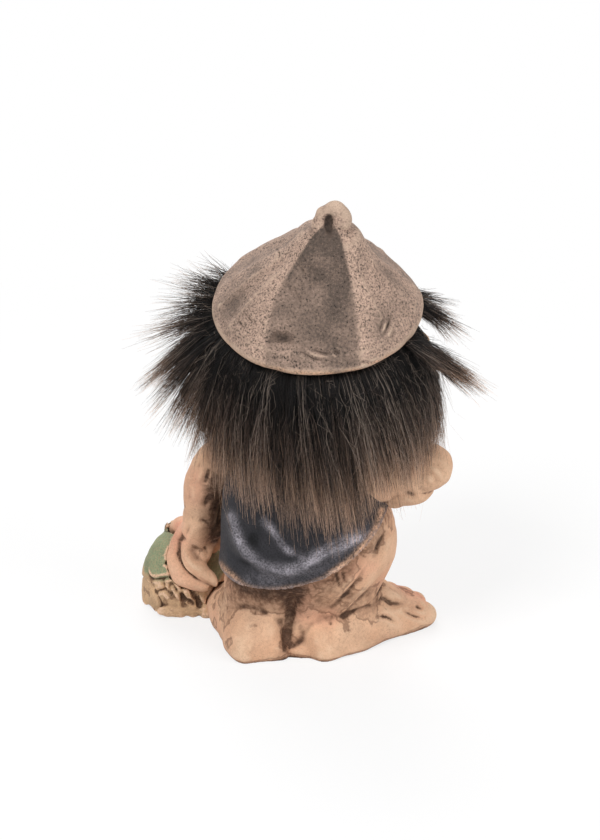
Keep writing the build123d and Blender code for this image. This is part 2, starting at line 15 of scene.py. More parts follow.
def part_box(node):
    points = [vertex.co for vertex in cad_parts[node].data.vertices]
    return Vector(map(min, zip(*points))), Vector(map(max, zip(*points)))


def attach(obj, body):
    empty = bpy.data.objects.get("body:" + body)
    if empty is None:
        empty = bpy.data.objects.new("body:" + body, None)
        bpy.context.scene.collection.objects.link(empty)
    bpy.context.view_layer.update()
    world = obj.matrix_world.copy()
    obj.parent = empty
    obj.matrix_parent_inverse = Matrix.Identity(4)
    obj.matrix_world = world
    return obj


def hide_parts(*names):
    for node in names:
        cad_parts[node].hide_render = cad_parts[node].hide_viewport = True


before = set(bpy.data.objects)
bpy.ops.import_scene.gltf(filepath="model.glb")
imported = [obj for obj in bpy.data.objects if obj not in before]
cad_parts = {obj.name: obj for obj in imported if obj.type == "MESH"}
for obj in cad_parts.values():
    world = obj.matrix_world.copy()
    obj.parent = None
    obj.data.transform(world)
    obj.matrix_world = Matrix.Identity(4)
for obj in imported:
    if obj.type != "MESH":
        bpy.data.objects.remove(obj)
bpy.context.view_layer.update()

MM = 0.001
MERGE_DISTANCE = 1e-6
SCENE = bpy.context.scene

# The photograph's view: direction, scale and the point in the middle of its frame
PHOTO_AZIMUTH = 180.0
PHOTO_ELEVATION = 24.0
FRAME_HEIGHT = 253.8
FRAME_MIDDLE = (-1.2, 0.0, 72.8)
CAMERA_DISTANCE = 1600.0
SENSOR_HEIGHT = 36.0

# The head's frame: its middle at the rim of the cap, and its tip towards the back
HEAD_MIDDLE = np.array((-6.2, 3.0, 110.8))
HEAD_TIP = radians(16.0)
HEAD_AXES = np.array(((1, 0, 0), (0, cos(HEAD_TIP), -sin(HEAD_TIP)), (0, sin(HEAD_TIP), cos(HEAD_TIP))))

# Paints, as linear colours, and how each finish is broken up
SKIN = (0.605, 0.36, 0.227)
SKIN_LIGHT = (0.70, 0.475, 0.32)
# The brown wash also paints shade under the hem, between the legs, along the soles, round the eyes, under the
# head, under the arms and under the hand on the stump
BROWN_WASH_AND_SHADE = (0.115, 0.052, 0.028)
ROSY = (0.74, 0.30, 0.21)
CLOTH = (0.024, 0.023, 0.027)
# The tunic's wash also paints shade in the pit of a fold
CLOTH_WASH_AND_SHADE = (0.008, 0.008, 0.010)
CLOTH_DRY = (0.36, 0.335, 0.37)
CAP = (0.385, 0.268, 0.207)
# CAP_SHADE darkens the cap's panels, partly dark paint in the scoops and partly painted shade;
# CAP_WASH_AND_SHADE also paints the shade in the curl's hole
CAP_SHADE = (0.062, 0.046, 0.037)
CAP_WASH_AND_SHADE = (0.07, 0.046, 0.034)
CAP_DRY = (0.50, 0.365, 0.275)
BARK = (0.52, 0.34, 0.20)
MOSS = (0.215, 0.265, 0.155)
SKIN_LOOKS = {"Mottling": 0.7, "Grain": 0.7, "Specks": 0.2, "Bump": 0.5}
CAP_LOOKS = {"Mottling": 0.6, "Grain": 3.6, "Specks": 0.3, "Bump": 0.8}
CLOTH_LOOKS = {"Mottling": 0.6, "Grain": 2.0, "Specks": 0.15, "Bump": 0.45}
STUMP_LOOKS = {"Mottling": 1.3, "Grain": 0.8, "Specks": 0.35, "Bump": 0.6}

# The size of the faces that each casting is worked in
FACE_SIZES = {
    "hat": 0.45, "head": 0.6, "body": 0.55, "tunic": 0.5, "left_arm": 0.4, "right_arm": 0.4, "stump": 0.4,
}

# How often a surface is blurred to find its fine hollows and its broad ones
FINE_BLURS = 5
BROAD_BLURS = 45

# The tunic's hem and the left wrist in the photograph's view
HEM = (
    (-23.0, 22.4), (-19.6, 19.3), (-15.4, 16.0), (-9.7, 14.8), (-1.8, 15.4),
    (5.7, 17.2), (12.1, 21.1), (18.4, 26.3), (23.0, 32.0), (26.0, 39.3),
)
LEFT_WRIST = (-28.4, 29.3)

# The cap: its height above the head's middle, how far its tip leans to the right, and its dark panel
# in the photograph's view, as heights with the left and right edges there
CAP_HEIGHT = 29.0
CAP_LEAN = 5.0
PANEL_HEIGHTS = (82.0, 95.5, 103.2, 111.9, 121.0, 124.5)
PANEL_LEFT = (-10.8, -8.9, -6.7, -1.5, 5.0, 8.6)
PANEL_RIGHT = (19.8, 18.9, 17.7, 15.8, 13.2, 11.0)


class View:
    """A direction to look from: azimuth 0 looks along +Y, and elevation is above level."""

    def __init__(self, azimuth, elevation):
        turn = radians(azimuth)
        rise = radians(elevation)
        self.right = np.array((cos(turn), sin(turn), 0.0))
        self.toward = np.array((sin(turn) * cos(rise), -cos(turn) * cos(rise), sin(rise)))
        self.up = np.cross(self.toward, self.right)

    def flat(self, points):
        """Where points lie in the view, across and up."""
        return np.stack((points @ self.right, points @ self.up), axis=1)


BACK = View(PHOTO_AZIMUTH, PHOTO_ELEVATION)
FRONT = View(0.0, 5.0)


def bell(distance, width):
    """1 at no distance, falling softly to nothing over a width."""
    return np.exp(-((distance / width) ** 2))


def slope(values, start, length):
    """0 up to a start, then rising to 1 over a length. A negative length rises downwards."""
    return np.clip((values - start) / length, 0, 1)


def oval(flat, x, y, width, height):
    """A soft oval mask in a view."""
    return bell(flat[:, 0] - x, width) * bell(flat[:, 1] - y, height)


def path_distance(flat, path):
    """How far points of a view are from a path there, and how far along it they are, from 0 to 1."""
    corners = np.array(path, float)
    lengths = np.linalg.norm(np.diff(corners, axis=0), axis=1)
    starts = np.concatenate(((0,), np.cumsum(lengths)))
    nearest = np.full(len(flat), 1e9)
    along = np.zeros(len(flat))
    for index, length in enumerate(lengths):
        run = (corners[index + 1] - corners[index]) / length
        offset = flat - corners[index]
        share = np.clip(offset @ run, 0, length)
        distance = np.linalg.norm(offset - share[:, None] * run, axis=1)
        closer = distance < nearest
        nearest[closer] = distance[closer]
        along[closer] = (starts[index] + share[closer]) / starts[-1]
    return nearest, along


def smooth_path(path, steps=6):
    """A path rounded through its points."""
    corners = np.array(path, float)
    if len(corners) < 3:
        return corners
    padded = np.vstack((2 * corners[0] - corners[1], corners, 2 * corners[-1] - corners[-2]))
    rounded = []
    for before, start, end, after in zip(padded, padded[1:], padded[2:], padded[3:]):
        for step in range(steps):
            t = step / steps
            square = 2 * before - 5 * start + 4 * end - after
            cube = 3 * (start - end) + after - before
            rounded.append((2 * start + (end - before) * t + square * t**2 + cube * t**3) / 2)
    rounded.append(corners[-1])
    return np.array(rounded)


def read(items, name, width, kind=np.float64):
    """A property of every item of a mesh, as an array."""
    values = np.empty(len(items) * width, kind)
    items.foreach_get(name, values)
    return values.reshape(-1, width)


def even_mesh(node, lumps):
    """A CAD node's shape with lumps of clay added, in small even faces, in millimetres."""
    form = bmesh.new()
    form.from_mesh(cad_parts[node].data)
    bmesh.ops.remove_doubles(form, verts=form.verts, dist=MERGE_DISTANCE)
    bmesh.ops.scale(form, vec=(1 / MM,) * 3, verts=form.verts)
    for spot, radii in lumps:
        place = Matrix.LocRotScale(Vector(spot), None, Vector(radii))
        bmesh.ops.create_icosphere(form, subdivisions=3, radius=1, matrix=place)
    rough = bpy.data.meshes.new(node + "_rough")
    form.to_mesh(rough)
    form.free()
    blank = bpy.data.objects.new(node + "_rough", rough)
    SCENE.collection.objects.link(blank)
    remesh = blank.modifiers.new("Even faces", "REMESH")
    remesh.mode = "VOXEL"
    remesh.voxel_size = FACE_SIZES[node]
    remesh.use_smooth_shade = True
    mesh = plain_mesh(blank)
    bpy.data.objects.remove(blank)
    return mesh


def plain_mesh(piece):
    """A mesh of what a piece's modifiers make of it."""
    graph = bpy.context.evaluated_depsgraph_get()
    graph.update()
    return bpy.data.meshes.new_from_object(piece.evaluated_get(graph))


class Clay:
    """The surface of one casting, worked in millimetres and given masks for its paint."""

    def __init__(self, node, lumps=()):
        self.node = node
        self.mesh = even_mesh(node, lumps)
        self.points = read(self.mesh.vertices, "co", 3)
        edges = read(self.mesh.edges, "vertices", 2, np.int32)
        self.ends = np.concatenate((edges[:, 0], edges[:, 1]))
        self.others = np.concatenate((edges[:, 1], edges[:, 0]))
        self.degree = np.maximum(np.bincount(self.ends, minlength=len(self.points)), 1)
        self.masks = {}

    def normals(self):
        """The outward direction at each point."""
        self.mesh.vertices.foreach_set("co", self.points.ravel())
        self.mesh.update()
        return read(self.mesh.vertex_normals, "vector", 3)

    def blurred(self, values, times, share=0.6):
        """Values drawn towards the mean of their neighbours, some times over."""
        columns = values if values.ndim == 2 else values[:, None]
        for _ in range(times):
            mean = np.empty_like(columns)
            for index in range(columns.shape[1]):
                around = columns[self.others, index]
                mean[:, index] = np.bincount(self.ends, around, len(columns)) / self.degree
            columns = columns + share * (mean - columns)
        return columns if values.ndim == 2 else columns[:, 0]

    def smooth(self, times):
        """Softens the surface without shrinking it much."""
        for _ in range(times):
            self.points = self.blurred(self.points, 1, 0.6)
            self.points = self.blurred(self.points, 1, -0.55)

    def melt(self, times):
        """Softens the surface and fills its corners."""
        self.points = self.blurred(self.points, times)

    def soften(self, share, times):
        """Melts part of the surface, by a share at each point."""
        melted = self.blurred(self.points, times)
        self.points = self.points + share[:, None] * (melted - self.points)

    def press(self, heights):
        """Moves each point along its outward direction."""
        self.points = self.points + self.normals() * heights[:, None]

    def seen(self, view):
        """How squarely each point faces a view, from 0 to 1."""
        return np.clip(2.5 * (self.normals() @ view.toward) - 0.15, 0, 1)

    def near(self, spot, radius):
        """A soft mask round a spot."""
        return bell(np.linalg.norm(self.points - np.array(spot), axis=1), radius)

    def beside(self, view, path, width):
        """A soft mask along a rounded path in a view."""
        distance, _ = path_distance(view.flat(self.points), smooth_path(path))
        return bell(distance, width)

    def bumps(self, size, seed, stretch=(1, 1, 1)):
        """Smooth random heights between -1 and 1, with bumps of about a given size."""
        cells = self.points / (size * np.array(stretch)) + seed * 11.37
        corner = np.floor(cells).astype(np.int64)
        part = cells - corner
        part = part * part * (3 - 2 * part)
        total = np.zeros(len(part))
        for step in np.ndindex(2, 2, 2):
            spot = corner + step
            mixed = spot[:, 0] * 73856093 ^ spot[:, 1] * 19349663 ^ spot[:, 2] * 83492791 ^ seed * 2654435
            mixed = (mixed ^ (mixed >> 13)) * 1274126177 & 0x7FFFFFFF
            height = (mixed >> 7) % 4096 / 2047.5 - 1
            total += height * np.prod(np.where(step, part, 1 - part), axis=1)
        return total

    def strokes(self, view, paths, width, depth, lip=0.35, fade=0.35):
        """Cuts grooves along paths in a view, with a little clay raised at both sides."""
        flat = view.flat(self.points)
        heights = np.zeros(len(flat))
        for path in paths:
            distance, along = path_distance(flat, smooth_path(path))
            taper = np.clip(np.minimum(along, 1 - along) / fade, 0, 1) ** 0.5
            cut = bell(distance, width)
            raised = bell(distance - 2.0 * width, 0.9 * width)
            heights += taper * depth * (lip * raised - cut)
        self.press(heights * self.seen(view))

    def dents(self, view, spots, radius, depth):
        """Presses round hollows at spots of a view, or raises knobs where the depth is negative."""
        flat = view.flat(self.points)
        heights = np.zeros(len(flat))
        for spot in spots:
            distance = np.linalg.norm(flat - np.array(spot), axis=1)
            heights -= depth * bell(distance, radius)
        self.press(heights * self.seen(view))

    def nudge(self, *moves):
        """Moves the surface out, or in where the height is negative, round some spots."""
        self.press(sum(height * self.near(spot, radius) for spot, radius, height in moves))

    def roughen(self, size, height, seed):
        """Random bumps of a given size and height."""
        self.press(height * self.bumps(size, seed))

    def wrinkle(self, size, depth, seed, stretch, share):
        """Random creases with rounded folds between them."""
        folds = np.abs(self.bumps(size, seed, stretch))
        self.press(-depth * share * bell(folds, 0.16))

    def shade(self, fine, broad):
        """Masks of hollows and ridges, from how the surface lies against its blurred self."""
        normals = self.normals()
        close = ((self.blurred(self.points, FINE_BLURS) - self.points) * normals).sum(1)
        far = ((self.blurred(self.points, BROAD_BLURS) - self.points) * normals).sum(1)
        depth = close / fine + far / broad
        self.masks["crevice"] = np.clip(depth, 0, 1)
        self.masks["ridge"] = np.clip(-depth, 0, 1)

    def mask(self, name, values):
        """A mask for the paint, from 0 to 1."""
        self.masks[name] = np.clip(values, 0, 1)

    def piece(self, name, material, slot):
        """The finished casting, in place of its CAD node."""
        self.mesh.vertices.foreach_set("co", (self.points * MM).ravel())
        for mask, values in self.masks.items():
            layer = self.mesh.attributes.new(mask, "FLOAT", "POINT")
            layer.data.foreach_set("value", values)
        self.mesh.update()
        self.mesh.materials.clear()
        self.mesh.materials.append(material)
        return show(name, self.mesh, slot, self.node)


def show(name, mesh, slot, *nodes):
    """A piece of the object in place of CAD nodes."""
    piece = bpy.data.objects.new(name, mesh)
    SCENE.collection.objects.link(piece)
    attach(piece, "root")
    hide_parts(*nodes)
    return piece


def on_head(x, y, z):
    """A point of the head's tipped frame, in the figure's frame."""
    return HEAD_MIDDLE + np.array((x, y, z)) @ HEAD_AXES


def in_head(points):
    """Points of the figure's frame, in the head's tipped frame."""
    return (points - HEAD_MIDDLE) @ HEAD_AXES.T


# Shader nodes

def put(tree, socket, value):
    """Links a socket to another one, or sets it. A colour is given as three values."""
    if isinstance(value, bpy.types.NodeSocket):
        tree.links.new(value, socket)
    elif socket.type == "RGBA" and len(value) == 3:
        socket.default_value = (*value, 1.0)
    else:
        socket.default_value = value


def feed(tree, node, inputs):
    """Sets or links a node's inputs."""
    for name, value in inputs.items():
        put(tree, node.inputs[name], value)


def by_id(sockets, identifier):
    """One socket of a node that has several with the same name."""
    return next(socket for socket in sockets if socket.identifier == identifier)


def add_node(tree, kind, inputs=None, **settings):
    """A node with its settings, and its inputs set or linked."""
    node = tree.nodes.new(kind)
    for name, value in settings.items():
        setattr(node, name, value)
    feed(tree, node, inputs or {})
    return node


def new_material(name):
    """A material with its node tree and its shader."""
    material = bpy.data.materials.new(name)
    material.use_nodes = True
    tree = material.node_tree
    return material, tree, tree.nodes["Principled BSDF"]


def object_place(tree):
    """Coordinates in metres that lie still on the object."""
    return tree.nodes.new("ShaderNodeTexCoord").outputs["Object"]


def noise(tree, coordinates, scale, detail=3.0):
    """A noise value of a given scale, per metre."""
    inputs = {"Vector": coordinates, "Scale": scale, "Detail": detail}
    return add_node(tree, "ShaderNodeTexNoise", inputs).outputs["Fac"]


def remap(tree, value, low, high, to_low=0.0, to_high=1.0):
    """A value stretched smoothly from one range to another."""
    inputs = {"Value": value, "From Min": low, "From Max": high, "To Min": to_low, "To Max": to_high}
    return add_node(tree, "ShaderNodeMapRange", inputs, interpolation_type="SMOOTHSTEP").outputs["Result"]


def calc(tree, operation, first, second=0.0):
    """One step of arithmetic on one or two values."""
    return add_node(tree, "ShaderNodeMath", {0: first, 1: second}, operation=operation).outputs[0]


def mix_colour(tree, share, first, second):
    """A mix of two colours."""
    node = add_node(tree, "ShaderNodeMix", data_type="RGBA")
    for identifier, value in (("Factor_Float", share), ("A_Color", first), ("B_Color", second)):
        put(tree, by_id(node.inputs, identifier), value)
    return by_id(node.outputs, "Result_Color")


def bumpy(tree, height, strength, distance):
    """A bumped surface direction."""
    inputs = {"Height": height, "Strength": strength, "Distance": distance}
    return add_node(tree, "ShaderNodeBump", inputs).outputs["Normal"]


def mask_value(tree, name):
    """A mask that a casting carries."""
    return add_node(tree, "ShaderNodeAttribute", attribute_name=name).outputs["Fac"]


def painted_clay_group():
    """Matt paint on clay: speckled paint, stains with dark edges, washed hollows and brushed ridges. The
    hollow and stain masks also bring painted shade, in the wash colour.
    """
    group = bpy.data.node_groups.new("Painted clay", "ShaderNodeTree")
    for name in ("Paint", "Wash", "Dry brush"):
        group.interface.new_socket(name, in_out="INPUT", socket_type="NodeSocketColor")
    for name in ("Hollow", "Ridge", "Stain and shade", "Mottling", "Grain", "Specks"):
        group.interface.new_socket(name, in_out="INPUT", socket_type="NodeSocketFloat")
    for name, kind in (("Color", "Color"), ("Roughness", "Float"), ("Height", "Float")):
        group.interface.new_socket(name, in_out="OUTPUT", socket_type="NodeSocket" + kind)
    given = group.nodes.new("NodeGroupInput").outputs
    place = object_place(group)

    def plus(first, second):
        return calc(group, "ADD", first, second)

    def times(first, second):
        return calc(group, "MULTIPLY", first, second)

    def ramp(value, *ends):
        return remap(group, value, *ends)

    blotches, patches, grains = (
        plus(noise(group, place, scale, detail), -0.5)
        for scale, detail in ((110.0, 5.0), (260.0, 4.0), (1300.0, 3.0))
    )
    specks = noise(group, place, 2000.0, 2.0)
    broken = ramp(noise(group, place, 800.0, 6.0), 0.34, 0.66, 0.35, 1.0)
    sparkle = plus(plus(specks, -0.5), times(grains, 0.6))
    brightness = plus(plus(times(blotches, given["Mottling"]), times(sparkle, given["Grain"])), 1.0)
    shaded = add_node(group, "ShaderNodeHueSaturation", {"Value": brightness, "Color": given["Paint"]})
    dark = add_node(group, "ShaderNodeHueSaturation", {"Value": 0.25, "Color": given["Wash"]})
    # Stains take the wash with darker rims; painted shade that a casting's stain mask carries is painted the
    # same way
    stain_and_shade = plus(given["Stain and shade"], times(patches, 0.7))
    rim = calc(group, "SUBTRACT", ramp(stain_and_shade, 0.32, 0.37), ramp(stain_and_shade, 0.375, 0.46))
    uneven = plus(times(grains, 0.35), times(patches, 0.6))
    # Hollows take the wash, the deepest a darker wash; painted shade that a casting's crevice mask carries is
    # painted this way too
    sunk = plus(given["Hollow"], uneven)
    hollow = times(ramp(sunk, 0.08, 1.1), plus(times(broken, 0.5), 0.5))
    colour = shaded.outputs["Color"]
    for share, layer in (
        (times(times(ramp(stain_and_shade, 0.32, 0.80), 0.9), broken), given["Wash"]),
        (times(rim, 0.6), given["Wash"]),
        (times(hollow, 0.92), given["Wash"]),
        (times(ramp(sunk, 0.7, 1.15), 0.85), dark.outputs["Color"]),
        (ramp(plus(given["Ridge"], uneven), 0.2, 1.0), given["Dry brush"]),
        (times(ramp(specks, 0.52, 0.66), given["Specks"]), given["Wash"]),
    ):
        colour = mix_colour(group, share, colour, layer)
    add_node(group, "NodeGroupOutput", {
        "Color": colour,
        "Roughness": ramp(grains, -0.3, 0.3, 0.62, 0.85),
        "Height": plus(times(grains, 0.6), times(specks, 0.4)),
    })
    return group


PAINTED_CLAY = painted_clay_group()


def painted_material(name, paint, wash, dry, looks, layers):
    """A painted casting's finish. Layers are further paints, each with the mask where it lies."""
    material, tree, shader = new_material(name)
    dabs = remap(tree, noise(tree, object_place(tree), 2000.0, 3.0), 0.32, 0.68, 0.6, 1.2)
    for layer, mask in layers:
        paint = mix_colour(tree, calc(tree, "MULTIPLY", mask_value(tree, mask), dabs), paint, layer)
    inputs = {"Paint": paint, "Wash": wash, "Dry brush": dry}
    for effect in ("Mottling", "Grain", "Specks"):
        inputs[effect] = looks[effect]
    # The crevice and stain masks carry the wash and the stains and, on several castings, painted shade
    for effect, mask in (("Hollow", "crevice"), ("Ridge", "ridge"), ("Stain and shade", "stain_and_shade")):
        inputs[effect] = mask_value(tree, mask)
    group = add_node(tree, "ShaderNodeGroup", node_tree=PAINTED_CLAY)
    feed(tree, group, inputs)
    feed(tree, shader, {
        "Base Color": group.outputs["Color"],
        "Roughness": group.outputs["Roughness"],
        "Normal": bumpy(tree, group.outputs["Height"], looks["Bump"], 0.0006),
        "Specular IOR Level": 0.25,
    })
    return material


def plain_material(name, first, second, scale, roughness, bump=0.3, sheen=0.0):
    """A mottled finish of two colours, for small pieces."""
    material, tree, shader = new_material(name)
    value = noise(tree, object_place(tree), scale, 4.0)
    feed(tree, shader, {
        "Base Color": mix_colour(tree, remap(tree, value, 0.35, 0.65), first, second),
        "Normal": bumpy(tree, value, bump, 0.0004),
        "Roughness": roughness,
        "Sheen Weight": sheen,
    })
    return material


# Castings

def across_panel(flat):
    """How far each point of the back view lies across the middle panel of the cap, from 0 to 1."""
    left = np.interp(flat[:, 1], PANEL_HEIGHTS, PANEL_LEFT)
    right = np.interp(flat[:, 1], PANEL_HEIGHTS, PANEL_RIGHT)
    return np.clip((flat[:, 0] - left) / (right - left), 0, 1)


def shape_cap(clay):
    """Pulls the wall of the cap to its profile, with scoops between soft ridges."""
    profile_heights = (-1.4, 0.56, 4.93, 11.02, 17.98, 24.07, CAP_HEIGHT)
    profile_radii = (30.0, 31.4, 30.0, 24.65, 17.2, 11.6, 7.0)
    panels = ((47, 76, 1.5), (98, 138, 1.6), (160, 205, 1.6), (232, 262, 1.4), (280, 299, 1.4))
    wall = 3.2
    lowest = 0.4
    highest = 29.4
    local = in_head(clay.points)
    height = local[:, 2]
    rise = np.clip(height, 0, CAP_HEIGHT)
    middle = -CAP_LEAN * (rise / CAP_HEIGHT) ** 2
    offset = np.stack((local[:, 0] - middle, local[:, 1]), axis=1)
    reach = np.linalg.norm(offset, axis=1)
    angle = np.degrees(np.arctan2(-offset[:, 0], offset[:, 1]))
    round_reach = np.interp(height, profile_heights, profile_radii)
    flat = BACK.flat(clay.points)
    off_middle = np.abs(2 * across_panel(flat) - 1)
    behind = clay.seen(BACK)
    scoop = 2.3 * (1 - off_middle**3) * behind
    for start, end, depth in panels:
        share = np.abs(((angle - start) % 360 / (end - start)) * 2 - 1)
        scoop += np.where(share < 1, depth * (1 - share**3), 0)
    swell = slope(height, 0.8, 6.0) * slope(height, 27.0, -7.0)
    front = slope(np.abs(angle), 65, 25)
    shoulder = slope(height, 22.0, 5.0) * slope(offset[:, 0], 0.0, 6.0)
    wanted = round_reach + swell * (0.1 - scoop - 1.0 * front) + 1.4 * shoulder
    outside = (reach > round_reach - wall) & (height > lowest) & (height < highest)
    ease = slope(height, lowest, 2.5) * slope(height, highest, -1.0)
    pull = np.where(outside, (wanted - reach) * ease, 0.0) / np.maximum(reach, 1.0)
    local[:, :2] += offset * pull[:, None]
    clay.points = HEAD_MIDDLE + local @ HEAD_AXES
    clay.smooth(4)
    clay.melt(2)
    clay.soften(slope(height, 24.0, 4.0), 16)
    clay.soften(bell(height - 24.5, 3.5) * behind, 40)
    clay.nudge(
        (on_head(5.5, -17.0, 17.0), 5.5, 1.1),
        (on_head(2.5, -11.0, 23.5), 4.5, 1.3),
        (on_head(-20.0, -17.0, 9.0), 10.0, -0.4),
    )
    clay.roughen(14.0, 0.45, 3)
    clay.roughen(4.0, 0.18, 4)
    return flat, behind, scoop


def mark_cap(clay, flat):
    """Cuts the hole of the curl and the tool marks, and measures how far points were from the hole."""
    hole = ((10.0, 126.8), (9.4, 125.0), (9.5, 123.0), (10.1, 121.4))
    nick = [((-5.2, 117.1), (-5.0, 114.5)), ((-5.9, 117.7), (-5.2, 116.9))]
    scratches = [
        ((0.6, 112.4), (2.7, 109.4)),
        ((-3.2, 107.6), (-0.2, 102.4)),
        ((-1.5, 106.6), (1.9, 100.6)),
        ((-13.0, 103.6), (-12.1, 102.1)),
        ((-14.5, 97.0), (-11.2, 94.2)),
        ((-17.9, 98.3), (-16.5, 94.3)),
        ((-15.6, 98.7), (-13.1, 95.3)),
        ((22.8, 101.5), (21.5, 98.0)),
        ((-16.8, 96.0), (-15.4, 93.4)),
    ]
    dimple = ((-7.4, 92.0), (-4.2, 90.8), (-0.2, 90.4))
    dimple_rim = ((-8.9, 91.8), (-8.4, 89.6), (-6.6, 88.0), (-4.2, 87.0), (-1.9, 86.3))
    rim_marks = [
        ((0.4, 87.0), (3.0, 85.8), (5.4, 84.4), (8.4, 84.0)),
        ((4.6, 87.4), (7.6, 86.4), (10.6, 86.0)),
        ((11.0, 87.0), (13.0, 85.8)),
        ((28.4, 97.4), (26.9, 93.5), (25.4, 90.6)),
        ((26.2, 96.6), (24.6, 92.0)),
        ((29.6, 93.4), (28.4, 90.4)),
        ((18.0, 82.6), (20.2, 83.6), (22.4, 83.1), (24.5, 84.0)),
    ]
    clay.strokes(BACK, [hole], 1.3, 1.3, 0.0, 0.4)
    distance, _ = path_distance(flat, hole)
    clay.soften(0.9 * bell(distance, 3.0), 6)
    clay.strokes(BACK, nick, 0.35, 0.5, 0.15)
    clay.strokes(BACK, scratches, 0.5, 0.24, 0.15)
    clay.strokes(BACK, [dimple], 2.2, 0.9, 0.25, 0.4)
    clay.strokes(BACK, [dimple_rim], 0.9, 0.25, 0.2)
    clay.strokes(BACK, rim_marks, 0.6, 0.45, 0.2)
    return distance


def paint_cap(clay, behind, scoop, distance):
    """Masks of the paint: dark panels of paint and painted shade, a bare rim, a stained dimple, and painted
    shade in the hole.
    """
    clay.shade(0.16, 1.1)
    flat = BACK.flat(clay.points)
    across = across_panel(flat)
    up_share = slope(flat[:, 1], 86.0, 22.0)
    below_curl = slope(flat[:, 1], 124.5, -2.5)
    panel = np.clip(8 * (1 - np.abs(2 * across - 1)), 0, 1) * behind * below_curl
    clay.mask("ridge", clay.masks["ridge"] * (1 - panel * (0.3 + 0.5 * up_share)))
    edge = 1 - slope(in_head(clay.points)[:, 2], 0.2, 1.2)
    clay.mask("bare", edge * (1 + clay.bumps(3.0, 6)))
    dusk = 0.9 + 0.25 * clay.bumps(12.0, 8) + 0.3 * clay.bumps(5.0, 9)
    # The dark panels: dark paint in the scoops together with painted shade, darkest at the top and right of
    # the middle panel, with shaded spots on the flanks and a shaded band near the top
    shade = panel * (0.42 + 0.6 * up_share + 0.3 * across)
    for *spot, strength in (
        (-13.3, 112.4, 3.0, 4.6, 0.6),
        (26.3, 110.6, 2.4, 4.2, 0.5),
        (-19.0, 101.0, 4.5, 8.0, 0.55),
        (31.0, 105.0, 3.0, 5.0, 0.4),
        (25.0, 94.0, 3.0, 5.0, 0.5),
        (-14.5, 101.0, 6.5, 9.0, 0.3),
        (29.0, 101.0, 5.0, 8.0, 0.2),
    ):
        shade += strength * oval(flat, *spot) * behind
    shade += 0.4 * slope(scoop, 0.0, 1.3) * (1 - behind)
    shade += 0.35 * slope(np.abs(flat[:, 1] - 119.0), 5.0, -5.0) * panel
    clay.mask("scooped", shade * np.clip(dusk, 0, 1) + 0.3 * np.clip(dusk - 0.75, 0, 1))
    dimple = oval(flat, -3.8, 90.8, 5.2, 2.6) * behind
    clay.mask("stain_and_shade", 0.22 * clay.bumps(7.0, 10) + 0.05 + 0.45 * dimple)
    # Painted shade in the curl's hole
    hole = bell(distance, 1.3) * behind
    clay.mask("crevice", clay.masks["crevice"] + 0.85 * hole + 0.5 * dimple)


def make_hat():
    """The cap: scooped panels between soft ridges, tool marks, and a curled tip."""
    curl = [
        (on_head(-7.2, 0.3, 33.0), (2.9, 2.6, 3.0)),
        (on_head(-5.1, 0.0, 37.4), (3.1, 2.4, 2.7)),
        (on_head(-1.4, 0.0, 35.2), (2.3, 2.2, 2.8)),
        (on_head(-0.8, 0.0, 31.6), (3.2, 3.0, 3.2)),
        (on_head(-4.0, -0.9, 34.0), (3.4, 1.9, 4.2)),
        (on_head(-3.6, 0.0, 28.6), (5.6, 4.6, 3.6)),
    ]
    clay = Clay("hat", curl)
    flat, behind, scoop = shape_cap(clay)
    distance = mark_cap(clay, flat)
    paint_cap(clay, behind, scoop, distance)
    layers = ((CAP_SHADE, "scooped"), (SKIN, "bare"))
    finish = painted_material("Cap paint", CAP, CAP_WASH_AND_SHADE, CAP_DRY, CAP_LOOKS, layers)
    return clay.piece("pointed_cap", finish, "hat_paint")


def skin_material():
    """Painted skin with a brown wash and rosy fingers and toes."""
    layers = ((SKIN_LIGHT, "pale"), (ROSY, "rosy"))
    return painted_material("Skin paint", SKIN, BROWN_WASH_AND_SHADE, SKIN_LIGHT, SKIN_LOOKS, layers)


def finish_skin(clay, name, finish, rosy=0.0, dark=0.0, painted_shade=0.0):
    """Shades a skin casting and sets its paint masks, with painted shade added to its hollows and stains."""
    clay.shade(0.2, 1.0)
    # Painted shade darkens the hollows' wash and dims the dry-brushed ridges
    clay.mask("crevice", clay.masks["crevice"] + painted_shade)
    clay.mask("ridge", clay.masks["ridge"] * (1 - np.clip(1.3 * painted_shade, 0, 1)))
    blotches = clay.bumps(10.0, 21) + 0.5 * clay.bumps(4.5, 22)
    clay.mask("pale", 0.5 * blotches + 0.2)
    clay.mask("rosy", rosy + 0.28 * np.clip(clay.bumps(8.0, 25), 0, 1))
    uneven = 0.2 * clay.bumps(9.0, 23) + 0.1 * clay.bumps(4.0, 24)
    # The dark share raises the stains with painted shade, or lowers them where it is below 0
    clay.mask("stain_and_shade", dark + 0.14 + 1.25 * uneven)
    return clay.piece(name, finish, "skin_paint")


